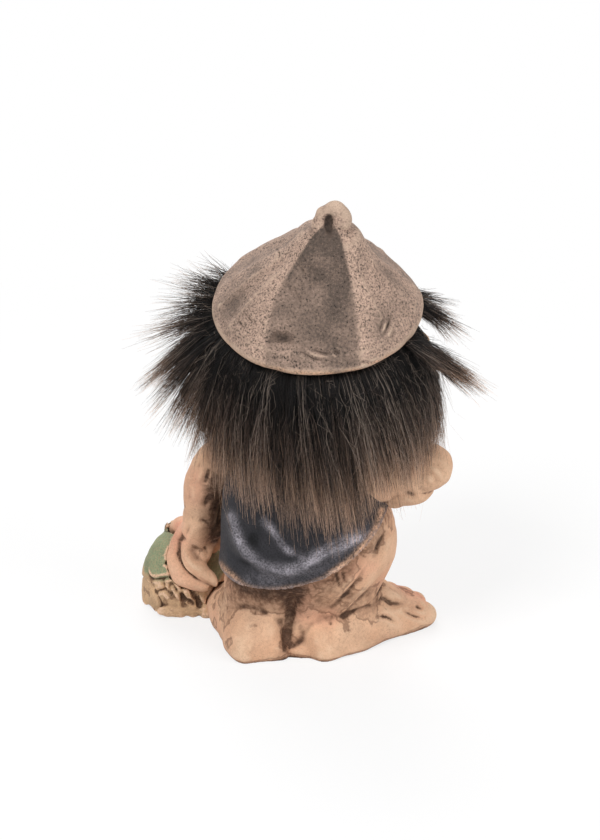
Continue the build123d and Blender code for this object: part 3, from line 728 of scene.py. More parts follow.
def make_body(finish):
    """Trunk, legs and feet: smooth heels, folded legs and stained hollows, with painted shade under the hem,
    between the legs and along the soles.
    """
    fillings = [((2.0, 10.0, 12.0), (4.8, 4.6, 16.0)), ((-1.5, 11.2, 1.2), (7.0, 3.8, 3.0))]
    groove = ((-0.9, 14.2), (-1.6, 8.0), (-2.6, 1.5), (-3.3, -3.2))
    front_groove = ((-3.6, 22.0), (-3.2, 12.0), (-2.0, 0.0))
    knees = [(-14.5, 20.0), (9.5, 20.0)]
    leg_folds = [
        ((22.4, 24.2), (19.0, 17.8), (13.6, 11.5), (9.7, 9.1)),
        ((29.9, 24.2), (24.8, 16.6), (17.2, 9.7), (13.6, 5.7)),
        ((27.8, 33.2), (25.4, 28.7), (23.6, 24.2)),
        ((26.9, 17.2), (31.7, 14.2), (38.1, 12.7)),
        ((25.4, 12.1), (30.2, 10.3), (34.4, 10.9)),
    ]
    creases = [
        ((14.8, 6.6), (18.1, 8.5), (23.0, 10.3)),
        ((12.2, 20.4), (13.3, 15.7)),
        ((13.9, 20.8), (14.8, 17.2)),
        ((26.6, 12.4), (29.6, 9.8)),
        ((30.6, 14.8), (34.0, 11.8), (36.8, 10.8)),
        ((35.2, 14.6), (38.6, 12.4), (41.0, 9.8)),
        ((32.4, 8.6), (36.4, 6.2), (40.2, 5.4)),
        ((24.0, 6.6), (28.0, 6.0), (31.4, 3.8)),
        ((36.8, 9.4), (39.4, 8.0)),
    ]
    heel_pits = [(-19.6, 6.4), (-12.6, 7.6), (-17.8, 1.4), (3.6, 6.4), (10.6, 4.4), (16.4, 2.4)]
    moves = [
        ((-29.0, 0.0, 29.0), 9.0, 0.9),
        ((-43.0, -13.0, 5.0), 4.5, -1.5),
        ((-38.0, -7.0, 1.5), 6.0, 1.3),
        ((-6.0, 12.5, 1.5), 5.0, 1.2),
        ((-20.0, 7.0, 1.5), 8.0, 0.8),
    ]
    right_toes = (-37.5, -21.0, 4.0)
    left_toes = (17.0, -29.0, 4.0)
    thigh_height = 19.0
    clay = Clay("body", fillings)
    clay.melt(12)
    clay.nudge(*moves)
    clay.roughen(11.0, 0.7, 31)
    clay.roughen(5.0, 0.35, 32)
    clay.strokes(BACK, [groove], 3.2, 1.7, 0.1, 0.2)
    clay.strokes(BACK, [groove], 1.2, 1.0, 0.0, 0.2)
    clay.strokes(FRONT, [front_groove], 2.8, 1.9, 0.1, 0.2)
    clay.dents(FRONT, knees, 7.5, -1.8)
    clay.strokes(BACK, leg_folds, 1.3, 0.8, 0.45)
    clay.strokes(BACK, creases, 0.7, 0.45, 0.25)
    clay.dents(BACK, heel_pits, 0.6, 0.2)
    clay.roughen(2.5, 0.1, 33)
    low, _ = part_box("body")
    clay.points[:, 2] = np.maximum(clay.points[:, 2], low.z / MM)
    toes = clay.near(right_toes, 10.0) + clay.near(left_toes, 10.0)
    behind = clay.seen(BACK)
    before = clay.seen(FRONT)
    # Painted shade under the hem, on the thighs below it, between the legs and along the soles: it raises the
    # stains and darkens the hollows' wash. The stains are lighter on the front.
    under_hem = clay.beside(BACK, HEM, 4.5) * behind
    height = clay.points[:, 2]
    thighs = bell(height - thigh_height, 8.0) * (0.3 + 0.7 * behind)
    between_legs = bell(clay.points[:, 0] - 2.0, 4.0) * np.clip(1.2 - height / 30.0, 0, 1)
    sole = bell(height, 1.3)
    dark = 0.3 * under_hem + 0.3 * thighs + 0.2 * between_legs + 0.5 * sole - 0.15 * before
    # Painted shade along the grooves between the legs
    groove_shade = 0.6 * (clay.beside(BACK, groove, 1.0) * behind) + 0.35 * (clay.beside(BACK, groove, 2.8) * behind)
    groove_shade += 0.2 * (clay.beside(FRONT, front_groove, 1.6) * before)
    painted_shade = 0.65 * under_hem + 0.3 * between_legs + 0.4 * thighs + 0.75 * sole + groove_shade
    return finish_skin(clay, "body_casting", finish, 0.85 * toes, dark, painted_shade)


def drawn_back(points):
    """Points with the left fingers drawn back round the stump."""
    fingers_top = 25.0
    first_angle = radians(112.0)
    low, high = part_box("stump")
    axis = np.array(((low.x + high.x) / 2, (low.y + high.y) / 2)) / MM
    offset = points[:, :2] - axis
    angle = np.arctan2(offset[:, 1], offset[:, 0])
    share = slope(points[:, 2], fingers_top, -6.0)
    beyond = np.clip(angle - first_angle, 0, None)
    angle = angle - 0.5 * share * beyond
    reach = np.linalg.norm(offset, axis=1)
    moved = np.array(points)
    moved[:, 0] = axis[0] + reach * np.cos(angle)
    moved[:, 1] = axis[1] + reach * np.sin(angle)
    return moved


def make_arm(node, finish, seed, hand, strokes, lumps, moves):
    """An arm with soft skin folds, rosy fingers and painted shade underneath; the left one has a smooth wrist
    and painted shade on its inside.
    """
    inner_edge = 30.5
    hand_top = 22.0
    left = node == "left_arm"
    clay = Clay(node, lumps)
    if left:
        clay.points = drawn_back(clay.points)
    clay.melt(7)
    clay.nudge(*moves)
    if left:
        wrist = np.linalg.norm(BACK.flat(clay.points) - np.array(LEFT_WRIST), axis=1)
        clay.soften(bell(wrist, 4.0), 70)
    clay.roughen(8.0, 0.7, seed)
    clay.roughen(3.6, 0.3, seed + 2)
    clay.strokes(BACK, strokes, 0.9, 0.5, 0.3)
    clay.roughen(2.2, 0.07, seed + 1)
    # Painted shade on the downward-facing side, and on the left arm's inside next to the tunic
    arm_shade = 0.5 * np.clip(0.1 - clay.normals()[:, 2], 0, 1)
    if left:
        facing = 0.25 + 0.75 * clay.seen(BACK)
        above_hand = slope(clay.points[:, 2], hand_top, 6.0)
        arm_shade += 0.8 * slope(clay.points[:, 0], inner_edge, -5.0) * above_hand * facing
    return finish_skin(clay, node + "_casting", finish, 0.5 * clay.near(hand, 8.0), -0.05, arm_shade)


def make_head(finish):
    """The head with its own plain folk-tale face."""
    ear_start = 27.0
    ear_reach = 30.0
    ear_low = -14.0
    clay = Clay("head")
    local = in_head(clay.points)
    ear = slope(np.abs(local[:, 0]), ear_start, 3.0)
    lower = local[:, 2] - 0.5 * ear * (local[:, 2] - ear_low)
    local[:, 2] = np.where(local[:, 2] > ear_low, lower, local[:, 2])
    local[:, 0] -= 0.35 * ear * np.sign(local[:, 0]) * np.clip(np.abs(local[:, 0]) - ear_reach, 0, None)
    clay.points = HEAD_MIDDLE + local @ HEAD_AXES
    clay.melt(10)
    clay.roughen(10.0, 0.4, 51)
    middle = HEAD_MIDDLE[0]

    def both_sides(*paths):
        return [[(middle + side * x, height) for x, height in path] for path in paths for side in (-1, 1)]

    def centred(*path):
        return [[(middle + x, height) for x, height in path]]

    mouth = centred((-13, 86.8), (-8, 83.2), (0, 81.8), (8, 83.2), (13, 86.8))
    crow_feet = both_sides(
        ((15.0, 102.2), (19.0, 104.4)),
        ((15.4, 100.8), (20.0, 101.2)),
        ((15.0, 99.4), (18.6, 97.8)),
    )
    clay.strokes(FRONT, both_sides(((8.8, 95.5), (12.6, 91.0), (14.2, 85.5))), 1.0, 1.1, 0.5)
    clay.strokes(FRONT, mouth, 0.8, 1.9, 0.3, 0.12)
    clay.strokes(FRONT, both_sides(((4.4, 104.0), (9.0, 106.4), (13.8, 103.4))), 0.55, 0.7, 0.5)
    clay.strokes(FRONT, both_sides(((4.8, 98.6), (9.0, 96.6), (13.4, 98.6))), 0.7, 0.7, 0.5)
    clay.strokes(FRONT, crow_feet, 0.4, 0.45)
    clay.strokes(FRONT, both_sides(((1.8, 104.5), (1.4, 109.5))), 0.5, 0.6)
    clay.strokes(FRONT, centred((-5.5, 79.4), (0, 78.2), (5.5, 79.4)), 0.9, 0.8)
    nostrils = [(middle + side * 3.6, 93.4) for side in (-1, 1)]
    ear_hollows = [(middle + side * 31.0, 96.5) for side in (-1, 1)]
    clay.dents(FRONT, nostrils, 1.3, 1.3)
    clay.dents(FRONT, ear_hollows, 3.2, 1.6)
    clay.roughen(2.5, 0.08, 53)

    def round_pair(x, y, z, radius):
        return sum(clay.near(on_head(side * x, y, z), radius) for side in (-1, 1))

    nose = clay.near(on_head(0, -37, -21), 8.0)
    rosy = 0.75 * nose + 0.55 * round_pair(15, -22, -24, 8.0) + 0.5 * round_pair(33, -2, -14, 7.0)
    # Painted shade round the eyes and towards the neck, carried in the stain mask
    neck = slope(clay.points[:, 2], 78.0, -10.0)
    return finish_skin(clay, "head_casting", finish, rosy, 0.16 * round_pair(9, -23, -13, 7.0) + 0.2 * neck)


def make_tunic():
    """The dark tunic with sagging folds, dry-brushed, painted shade in the pit of a fold, and a bare raised
    hem.
    """
    roll = (
        (-19.6, 37.2), (-18.4, 32.3), (-15.9, 27.6), (-11.0, 22.8),
        (-5.0, 21.2), (1.6, 22.4), (9.0, 26.6), (20.0, 31.5),
    )
    crease = ((-22.1, 29.3), (-18.2, 24.2), (-12.0, 21.4), (-6.0, 18.2))
    small_roll = ((-9.5, 36.0), (-7.0, 33.4), (-4.0, 28.0), (1.0, 26.4))
    pinch = [(-12.7, 31.4), (-11.4, 29.4)]
    low_roll = ((-13.5, 18.4), (-5.7, 17.6), (3.9, 20.2), (12.6, 24.4))
    front_folds = [
        ((-22.0, 52.0), (-12.0, 42.0), (2.0, 37.0), (16.0, 36.0)),
        ((-10.0, 50.0), (2.0, 45.0), (16.0, 44.0)),
        ((-18.0, 43.0), (-6.0, 36.0), (10.0, 31.0)),
    ]
    brush_strokes = (
        (roll, 1.6, 0.7),
        (((-9.5, 36.0), (-7.0, 33.4), (-3.0, 27.6), (1.0, 25.6)), 1.1, 0.7),
        (((-14.0, 18.0), (-4.0, 18.4), (6.0, 21.4), (15.0, 26.6)), 2.2, 0.18),
        (((4.0, 24.8), (12.0, 28.8), (22.0, 33.0)), 2.2, 0.45),
    )
    clay = Clay("tunic")
    clay.smooth(6)
    clay.roughen(9.0, 0.35, 61)
    clay.strokes(BACK, [roll], 1.7, -1.4, 0.25, 0.2)
    clay.strokes(BACK, [crease], 1.2, 0.7, 0.4)
    clay.strokes(BACK, [small_roll], 1.2, -0.8, 0.2)
    clay.dents(BACK, pinch, 2.6, 0.3)
    clay.strokes(BACK, [low_roll], 2.2, -0.6, 0.1)
    clay.strokes(BACK, [HEM], 1.1, -0.8, 0.2, 0.05)
    clay.strokes(FRONT, front_folds, 1.8, -1.0, 0.3)
    clay.roughen(2.2, 0.06, 62)
    clay.shade(0.5, 1.0)
    flat = BACK.flat(clay.points)
    behind = clay.seen(BACK)
    low_edge = clay.beside(BACK, HEM, 0.95) * (0.9 + 0.5 * clay.bumps(3.0, 64))
    clay.mask("hem", low_edge * (0.5 + 0.4 * slope(flat[:, 0], -5.0, 25.0)))
    brushed = np.zeros(len(flat))
    for path, width, strength in brush_strokes:
        brushed += strength * clay.beside(BACK, path, width)
    brushed *= behind * (0.7 + 0.5 * clay.bumps(2.5, 65))
    clay.mask("brushed", brushed + 0.35 * clay.masks["ridge"] * (1 - behind))
    clay.mask("ridge", 0.4 * clay.masks["ridge"])
    clay.mask("stain_and_shade", 0.15 * clay.bumps(6.0, 66))
    # Painted shade in the pit of the fold
    clay.mask("crevice", clay.masks["crevice"] + oval(flat, -12.2, 31.6, 2.4, 3.4) * behind)
    layers = ((CLOTH_DRY, "brushed"), (SKIN, "hem"))
    finish = painted_material("Tunic paint", CLOTH, CLOTH_WASH_AND_SHADE, CLOTH_DRY, CLOTH_LOOKS, layers)
    return clay.piece("dark_tunic", finish, "tunic_paint")


def make_stump():
    """The mossy stump: a moss dome over pale stones and cracked bark."""
    bark_top = 13.0
    moss_line = 10.5
    stones = [((33.0, -13.6, 2.0), (11.0, 1.8, 2.4)), ((28.0, -14.0, 1.4), (4.5, 2.4, 2.0))]
    cracks = [
        ((-46.8, 20.8), (-45.0, 17.2), (-39.3, 17.8), (-36.3, 18.1)),
        ((-41.1, 22.7), (-37.5, 21.8)),
        ((-38.7, 16.6), (-36.3, 12.7), (-33.5, 10.3), (-29.0, 9.1)),
        ((-32.9, 16.6), (-31.1, 11.5), (-28.4, 8.5)),
        ((-44.1, 13.0), (-41.1, 13.9), (-38.7, 12.1)),
        ((-35.6, 15.1), (-34.7, 8.5)),
        ((-41.5, 17.6), (-40.6, 13.8)),
    ]
    far_side = (42.0, -30.0, 21.0)
    under_hand = (24.0, -14.5, 20.0)
    clay = Clay("stump", stones)
    clay.nudge((far_side, 8.0, -1.5))
    clay.roughen(8.0, 0.6, 71)
    clay.strokes(BACK, cracks, 0.6, 0.9)
    low = slope(clay.points[:, 2], bark_top, -3.0)
    clay.wrinkle(5.0, 0.7, 72, (1, 1, 1.6), low)
    clay.roughen(1.6, 0.14, 73)
    clay.points[:, 2] = np.maximum(clay.points[:, 2], 0.0)
    clay.shade(0.2, 1.2)
    # Painted shade under the hand
    clay.mask("crevice", clay.masks["crevice"] + 0.9 * clay.near(under_hand, 8.0))
    height = clay.points[:, 2] + 2.2 * clay.bumps(5.0, 75)
    clay.mask("moss", slope(height, moss_line, 1.6))
    clay.mask("stain_and_shade", 0.2 + 0.25 * clay.bumps(5.0, 76) - 0.3 * clay.masks["moss"])
    finish = painted_material("Stump paint", BARK, BROWN_WASH_AND_SHADE, SKIN_LIGHT, STUMP_LOOKS, ((MOSS, "moss"),))
    return clay.piece("mossy_stump", finish, "stump_paint")


# Fur

GUIDES = ("lift", "sweep", "fall")
BAND_REACH = 26.2
FUR_HABIT = {
    "clumping": 0.7, "frizz": 1.2, "sway": 1.5, "curl": 2.5,
    "shortest": 0.6, "least tone": 0.0, "thickness": 0.085, "points": 7,
}
FUR_LENGTHS = ("frizz", "sway", "curl", "thickness")
FALL_START = -84
FALL_SPAN = 168
FALL_BULGE = 37.0
FRINGE_START = 118
FRINGE_SPAN = 124
FALL_ANGLES = (-80, -54, -29, -8, 10, 28, 38, 61, 90)
FALL_TIPS = (66.0, 51.0, 50.0, 44.0, 41.5, 41.5, 50.0, 50.0, 55.0)
FALL_TURN_ANGLES = (-84, -45, 0, 45, 70, 84)
FALL_TURNS = (0.0, 5.0, 13.0, 20.0, 12.0, 4.0)


def fur_tree():
    """Strands grown from a patch of fur cloth that carries their guides, drawn into clumps."""
    tree = bpy.data.node_groups.new("Combed fur", "GeometryNodeTree")
    kinds = {"Roots": "Geometry", "Points": "Int", "Seed": "Int", "Finish": "Material"}
    for name in (
        "Roots", "Strands", "Clumps", "Clumping", "Frizz", "Sway", "Curl",
        "Shortest", "Least tone", "Thickness", "Points", "Seed", "Finish",
    ):
        kind = "NodeSocket" + kinds.get(name, "Float")
        tree.interface.new_socket(name, in_out="INPUT", socket_type=kind)
    tree.interface.new_socket("Fur", in_out="OUTPUT", socket_type="NodeSocketGeometry")
    given = tree.nodes.new("NodeGroupInput").outputs

    def step(kind, inputs, output="Geometry", **settings):
        return add_node(tree, "GeometryNode" + kind, inputs, **settings).outputs[output]

    def plus(first, second):
        return calc(tree, "ADD", first, second)

    def times(first, second):
        return calc(tree, "MULTIPLY", first, second)

    def vector(operation, inputs):
        return add_node(tree, "ShaderNodeVectorMath", inputs, operation=operation).outputs["Vector"]

    def moved(first, second):
        return vector("ADD", {0: first, 1: second})

    def apart(first, second):
        return vector("SUBTRACT", {0: first, 1: second})

    def scaled(first, factor):
        return vector("SCALE", {0: first, "Scale": factor})

    def named(name, kind="FLOAT_VECTOR"):
        return step("InputNamedAttribute", {"Name": name}, "Attribute", data_type=kind)

    def keep(geometry, name, value, kind="FLOAT_VECTOR", domain="POINT"):
        inputs = {"Geometry": geometry, "Name": name, "Value": value}
        return step("StoreNamedAttribute", inputs, data_type=kind, domain=domain)

    def random(low, high, shift, identity=None, kind="FLOAT"):
        node = add_node(tree, "FunctionNodeRandomValue", data_type=kind)
        ending = "_001" if kind == "FLOAT" else ""
        put(tree, by_id(node.inputs, "Min" + ending), low)
        put(tree, by_id(node.inputs, "Max" + ending), high)
        put(tree, node.inputs["Seed"], plus(given["Seed"], float(shift)))
        if identity is not None:
            put(tree, node.inputs["ID"], identity)
        return next(socket for socket in node.outputs if socket.enabled)

    def random_way(shift, identity=None):
        return random((-1, -1, -1), (1, 1, 1), shift, identity, "FLOAT_VECTOR")

    place = tree.nodes.new("GeometryNodeInputPosition").outputs["Position"]
    spread = {"Mesh": given["Roots"], "Density": given["Strands"], "Seed": given["Seed"]}
    roots = step("DistributePointsOnFaces", spread, "Points")
    spread.update({"Density": given["Clumps"], "Seed": plus(given["Seed"], 1.0)})
    clumps = step("DistributePointsOnFaces", spread, "Points")
    lock = step("SampleNearest", {"Geometry": clumps, "Sample Position": place}, "Index")
    inputs = {"Geometry": clumps, "Value": place, "Index": lock}
    centre = step("SampleIndex", inputs, "Value", data_type="FLOAT_VECTOR")
    pull = scaled(apart(centre, place), given["Clumping"])
    stray = scaled(random_way(2), given["Frizz"])
    sway = scaled(random_way(3, lock), given["Sway"])
    reach = times(random(given["Shortest"], 1.0, 4), random(0.85, 1.0, 6, lock))
    tone = plus(random(given["Least tone"], 1.0, 5), random(-0.38, 0.38, 8, lock))
    tone = calc(tree, "MINIMUM", calc(tree, "MAXIMUM", tone, 0.0), 1.0)
    roots = keep(roots, "strand_bend", moved(moved(pull, stray), sway))
    roots = keep(roots, "strand_root", place)
    roots = keep(roots, "strand_reach", reach, "FLOAT")
    roots = keep(roots, "strand_tone", tone, "FLOAT")

    line = step("CurvePrimitiveLine", {"End": (0.0, 0.0, 0.01)}, "Curve")
    line = step("ResampleCurve", {"Curve": line, "Count": given["Points"]}, "Curve")
    strands = step("InstanceOnPoints", {"Points": roots, "Instance": line}, "Instances")
    strands = step("RealizeInstances", {"Geometry": strands})
    along = tree.nodes.new("GeometryNodeSplineParameter").outputs["Factor"]
    share = times(along, named("strand_reach", "FLOAT"))

    def between(first, second):
        node = add_node(tree, "ShaderNodeMix", data_type="VECTOR", factor_mode="UNIFORM")
        for identifier, value in (("Factor_Float", share), ("A_Vector", first), ("B_Vector", second)):
            put(tree, by_id(node.inputs, identifier), value)
        return by_id(node.outputs, "Result_Vector")

    level = [(0.0, 0.0, 0.0), *(named(guide) for guide in GUIDES)]
    while len(level) > 1:
        level = [between(first, second) for first, second in zip(level, level[1:])]
    bend = scaled(named("strand_bend"), calc(tree, "POWER", along, 1.6))
    waves = {"Vector": named("strand_root"), "W": times(share, 3.5), "Scale": 420.0, "Detail": 1.0}
    wave = add_node(tree, "ShaderNodeTexNoise", waves, noise_dimensions="4D").outputs["Color"]
    wave = scaled(apart(wave, (0.5, 0.5, 0.5)), times(given["Curl"], along))
    spot = moved(moved(named("strand_root"), level[0]), moved(bend, wave))
    strands = keep(strands, "strand_along", times(plus(share, along), 0.5), "FLOAT")
    strands = step("SetPosition", {"Geometry": strands, "Position": spot})

    ring = step("CurvePrimitiveCircle", {"Resolution": 3, "Radius": given["Thickness"]}, "Curve")
    ring = keep(ring, "strand_side", along, "FLOAT")
    taper = calc(tree, "SUBTRACT", 1.0, times(calc(tree, "POWER", along, 1.5), 0.8))
    inputs = {"Curve": strands, "Profile Curve": ring, "Scale": taper, "Fill Caps": True}
    fur = step("CurveToMesh", inputs, "Mesh")
    tone = plus(times(named("strand_tone", "FLOAT"), 0.94), times(named("strand_side", "FLOAT"), 0.05))
    length = plus(times(named("strand_along", "FLOAT"), 0.98), 0.01)
    chart = add_node(tree, "ShaderNodeCombineXYZ", {"X": tone, "Y": length}).outputs["Vector"]
    fur = keep(fur, "OFBake", chart, "FLOAT2", "CORNER")
    fur = step("RealizeInstances", {"Geometry": fur})
    fur = step("SetMaterial", {"Geometry": fur, "Material": given["Finish"]})
    add_node(tree, "NodeGroupOutput", {"Fur": fur})
    return tree


FUR_TREE = fur_tree()


def fur_material():
    """Fur that is black at the root, brown along its length and tan at the tip; the black roots also paint
    the shade deep in the pile.
    """
    material, tree, shader = new_material("Fur pile")
    chart = add_node(tree, "ShaderNodeUVMap", uv_map="OFBake").outputs["UV"]
    parts = add_node(tree, "ShaderNodeSeparateXYZ", {"Vector": chart}).outputs
    ramp = add_node(tree, "ShaderNodeValToRGB", {"Fac": parts["Y"]})
    # The near-black root stops are partly painted shade inside the pile
    stops = (
        (0.0, (0.003, 0.0022, 0.002)),
        (0.44, (0.008, 0.006, 0.0055)),
        (0.70, (0.075, 0.052, 0.041)),
        (1.0, (0.52, 0.33, 0.225)),
    )
    while len(ramp.color_ramp.elements) < len(stops):
        ramp.color_ramp.elements.new(0.5)
    for stop, (position, colour) in zip(ramp.color_ramp.elements, stops):
        stop.position = position
        stop.color = (*colour, 1.0)
    brightness = remap(tree, parts["X"], 0.0, 1.0, 0.10, 2.1)
    shaded = add_node(tree, "ShaderNodeHueSaturation", {"Value": brightness, "Color": ramp.outputs["Color"]})
    palest = remap(tree, parts["X"], 0.91, 0.96)
    pale = calc(tree, "MULTIPLY", palest, remap(tree, parts["Y"], 0.10, 0.45, 0.12, 0.5))
    colour = mix_colour(tree, pale, shaded.outputs["Color"], (0.42, 0.34, 0.28))
    feed(tree, shader, {"Base Color": colour, "Roughness": 0.5, "Specular IOR Level": 0.2})
    return material


FUR_FINISH = fur_material()


def fur_patch(name, columns, rows, guide):
    """A patch of fur cloth, whose vertices carry the guides of the strands that grow there."""
    roots = []
    guides = []
    for row in range(rows):
        for column in range(columns):
            root, *arms = guide(column / (columns - 1), row / (rows - 1))
            roots.append(np.array(root) * MM)
            guides.append([(np.array(arm) - np.array(root)) * MM for arm in arms])
    faces = []
    for row in range(rows - 1):
        for column in range(columns - 1):
            first = row * columns + column
            faces.append((first, first + 1, first + columns + 1, first + columns))
    mesh = bpy.data.meshes.new(name)
    mesh.from_pydata(roots, [], faces)
    for index, attribute in enumerate(GUIDES):
        layer = mesh.attributes.new(attribute, "FLOAT_VECTOR", "POINT")
        layer.data.foreach_set("vector", np.array([guide[index] for guide in guides]).ravel())
    return mesh


def grow_fur(name, node, patch, strands, clumps, seed, habit):
    """A piece of fur with a number of strands and clumps, grown from its patch."""
    area = sum(face.area for face in patch.polygons)
    piece = bpy.data.objects.new(name + "_roots", patch)
    SCENE.collection.objects.link(piece)
    modifier = piece.modifiers.new("Fur", "NODES")
    modifier.node_group = FUR_TREE
    values = {"Strands": strands / area, "Clumps": clumps / area, "Seed": seed, "Finish": FUR_FINISH}
    for effect, value in {**FUR_HABIT, **habit}.items():
        values[effect.capitalize()] = value * MM if effect in FUR_LENGTHS else value
    for item in FUR_TREE.interface.items_tree:
        if item.name in values:
            modifier[item.identifier] = values[item.name]
    mesh = plain_mesh(piece)
    bpy.data.objects.remove(piece)
    for attribute in [layer.name for layer in mesh.attributes]:
        if attribute in GUIDES or attribute.startswith("strand_"):
            mesh.attributes.remove(mesh.attributes[attribute])
    return show(name, mesh, "fur_pile", node)


def turned(angle, reach):
    """A level offset from the head's middle: 0 degrees is to the back, and 90 to the figure's right."""
    return np.array((-sin(radians(angle)), cos(radians(angle)), 0.0)) * reach


def up(height):
    """An offset upwards."""
    return np.array((0, 0, height))


def band_root(angle, drop):
    """A point on the fur strip, at an angle round the head and a drop below the head's middle."""
    return on_head(*turned(angle, BAND_REACH)[:2], -drop)


def back_strand(across, layer):
    """Guide of the fall behind the head: out from under the rim, round the bulge, down and to the right."""
    angle = FALL_START + FALL_SPAN * across
    turn = np.interp(angle, FALL_TURN_ANGLES, FALL_TURNS)
    out = turned(angle, 1.0)
    half_out = turned(angle + 0.45 * turn, 1.0)
    tip_out = turned(angle + turn, 1.0)
    root = band_root(angle, 1.0 + 6.0 * layer)
    tip_height = np.interp(angle + turn, FALL_ANGLES, FALL_TIPS) + 7.0 * layer
    bulge = FALL_BULGE + 0.8 * np.clip(angle / 60, 0, 1) - 5.5 * layer
    axis = np.array((HEAD_MIDDLE[0], HEAD_MIDDLE[1], 0.0))
    lift = root + out * (bulge - BAND_REACH) - up(3.0)
    drop = root[2] - tip_height
    sweep = axis + half_out * (bulge + 1.5) + up(root[2] - 0.5 * drop)
    fall = axis + tip_out * (bulge - 3.0) + up(tip_height)
    return root, lift, sweep, fall


def tuft_guide(side, angles, climbs, reaches, depth):
    """Guide of a tuft that fans out beside the head, with a depth at its root."""
    shares = np.linspace(0, 1, len(angles))

    def strand(across, layer):
        angle = side * np.interp(across, shares, angles)
        climb = radians(np.interp(across, shares, climbs) - 1.6 * depth * layer)
        reach = np.interp(across, shares, reaches) * (1 - 0.2 * layer)
        out = turned(angle, 1.0)
        root = band_root(angle, 0.5 + depth * layer)
        way = out * cos(climb) + up(sin(climb))
        lift = root + (out + way) * reach * 0.17
        sweep = root + way * reach * 0.68 + up(1.0)
        return root, lift, sweep, root + way * reach

    return strand


def fringe_strand(across, layer):
    """Guide of the short fringe over the brow."""
    angle = FRINGE_START + FRINGE_SPAN * across
    out = turned(angle, 1.0)
    root = band_root(angle, 1.0 + 4.0 * layer)
    lift = root + out * 3.5 - up(1.0)
    sweep = root + out * 5.0 - up(6.0)
    return root, lift, sweep, root + out * 4.0 - up(12.0)


def make_fur():
    """The fur strip's pile, in pieces: the fall, its strays, the side tufts and the fringe."""
    under = {"clumping": 0.5, "frizz": 1.6, "shortest": 0.6}
    over = {"clumping": 0.8, "frizz": 2.4, "sway": 3.8, "shortest": 0.62, "curl": 6.0}
    strays = {
        "clumping": 0.0, "frizz": 8.0, "shortest": 0.2, "curl": 16.0,
        "points": 10, "thickness": 0.06, "least tone": 0.9,
    }
    lock = {"clumping": 1.0, "frizz": 1.6, "sway": 4.0, "shortest": 0.5}
    wisp = {"clumping": 0.8, "frizz": 3.0, "sway": 4.0, "shortest": 0.35}
    thin = {"clumping": 0.9, "frizz": 1.8, "sway": 2.0, "shortest": 0.4}
    fringe = {"clumping": 0.6, "frizz": 0.9, "shortest": 0.5, "points": 5}
    left_tuft = tuft_guide(-1, (50, 62, 74, 88), (-76, -64, -48, -36), (42, 44, 42, 36), 6.0)
    left_wisps = tuft_guide(-1, (86, 100, 114, 126), (-26, -9, 2, 9), (34, 28, 22, 16), 6.0)
    low_lock = tuft_guide(1, (60, 64, 68), (-23, -23, -25), (34, 40, 33), 1.0)
    high_lock = tuft_guide(1, (96, 103, 110), (-38, -32, -18), (28, 27, 19), 1.6)
    for name, node, guide, columns, rows, *growth in (
        ("fur_fall_under", "hair_back", back_strand, 29, 4, 6500, 180, 11, under),
        ("fur_fall_over", "hair_back", back_strand, 29, 4, 5500, 160, 12, over),
        ("fur_strays", "hair_back", back_strand, 29, 4, 800, 300, 16, strays),
        ("fur_tuft_left", "hair_left", left_tuft, 13, 3, 4200, 60, 13, lock),
        ("fur_wisps_left", "hair_left", left_wisps, 13, 3, 1500, 60, 17, wisp),
        ("fur_lock_right_low", "hair_right", low_lock, 13, 3, 1200, 20, 14, thin),
        ("fur_lock_right_high", "hair_right", high_lock, 13, 3, 700, 20, 18, thin),
        ("fur_fringe", "hair_fringe", fringe_strand, 17, 3, 3000, 150, 15, fringe),
    ):
        grow_fur(name, node, fur_patch(name + "_cloth", columns, rows, guide), *growth)


# Small pieces that keep their CAD shape

EYE_DROP = 0.0004
IRIS_RADIUS = 0.0022
PUPIL_RADIUS = 0.0013
EYE_EDGE = 0.0002
EYE_WHITE = (0.75, 0.68, 0.55)
IRIS = (0.30, 0.11, 0.025)
PUPIL = (0.006, 0.004, 0.003)


def eye_material():
    """A glossy bead with a dark pupil in an amber ring, on both eyes."""
    material, tree, shader = new_material("Eye bead")
    folded = add_node(tree, "ShaderNodeSeparateXYZ", {"Vector": object_place(tree)}).outputs
    side = calc(tree, "ABSOLUTE", calc(tree, "SUBTRACT", folded["X"], float(HEAD_MIDDLE[0]) * MM))
    low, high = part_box("left_eye")
    middle = (low + high) / 2
    across = calc(tree, "SUBTRACT", side, middle.x - HEAD_MIDDLE[0] * MM)
    rise = calc(tree, "SUBTRACT", folded["Z"], middle.z - EYE_DROP)
    squares = [calc(tree, "MULTIPLY", way, way) for way in (across, rise)]
    radius = calc(tree, "SQRT", calc(tree, "ADD", *squares))
    colour = EYE_WHITE
    for ring, paint in ((IRIS_RADIUS, IRIS), (PUPIL_RADIUS, PUPIL)):
        colour = mix_colour(tree, remap(tree, radius, ring, ring + EYE_EDGE), paint, colour)
    feed(tree, shader, {"Base Color": colour, "Roughness": 0.12, "Coat Weight": 0.6})
    return material


def dress_node(node, material):
    """Gives a CAD node that stays in view its finish."""
    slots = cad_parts[node].data.materials
    slots.clear()
    slots.append(material)


def dress_small_pieces():
    """Finishes of the beads, the glue, the fur's backing and the felt."""
    eyes = eye_material()
    dress_node("left_eye", eyes)
    dress_node("right_eye", eyes)
    for node, *finish in (
        ("hat_glue", "Glue", (0.62, 0.52, 0.33), (0.74, 0.66, 0.46), 240.0, 0.35),
        ("hair_band", "Fur backing", (0.016, 0.013, 0.012), (0.035, 0.028, 0.025), 1500.0, 0.9),
        ("sole_pad", "Felt", (0.03, 0.09, 0.04), (0.06, 0.15, 0.07), 2200.0, 0.95, 0.8, 0.3),
    ):
        dress_node(node, plain_material(*finish))


# Stage, in metres

FLOOR_SIZE = 6.0
SHADOW_NEAR = 0.06
SHADOW_FAR = 0.30
SKY_LIGHT = 0.36


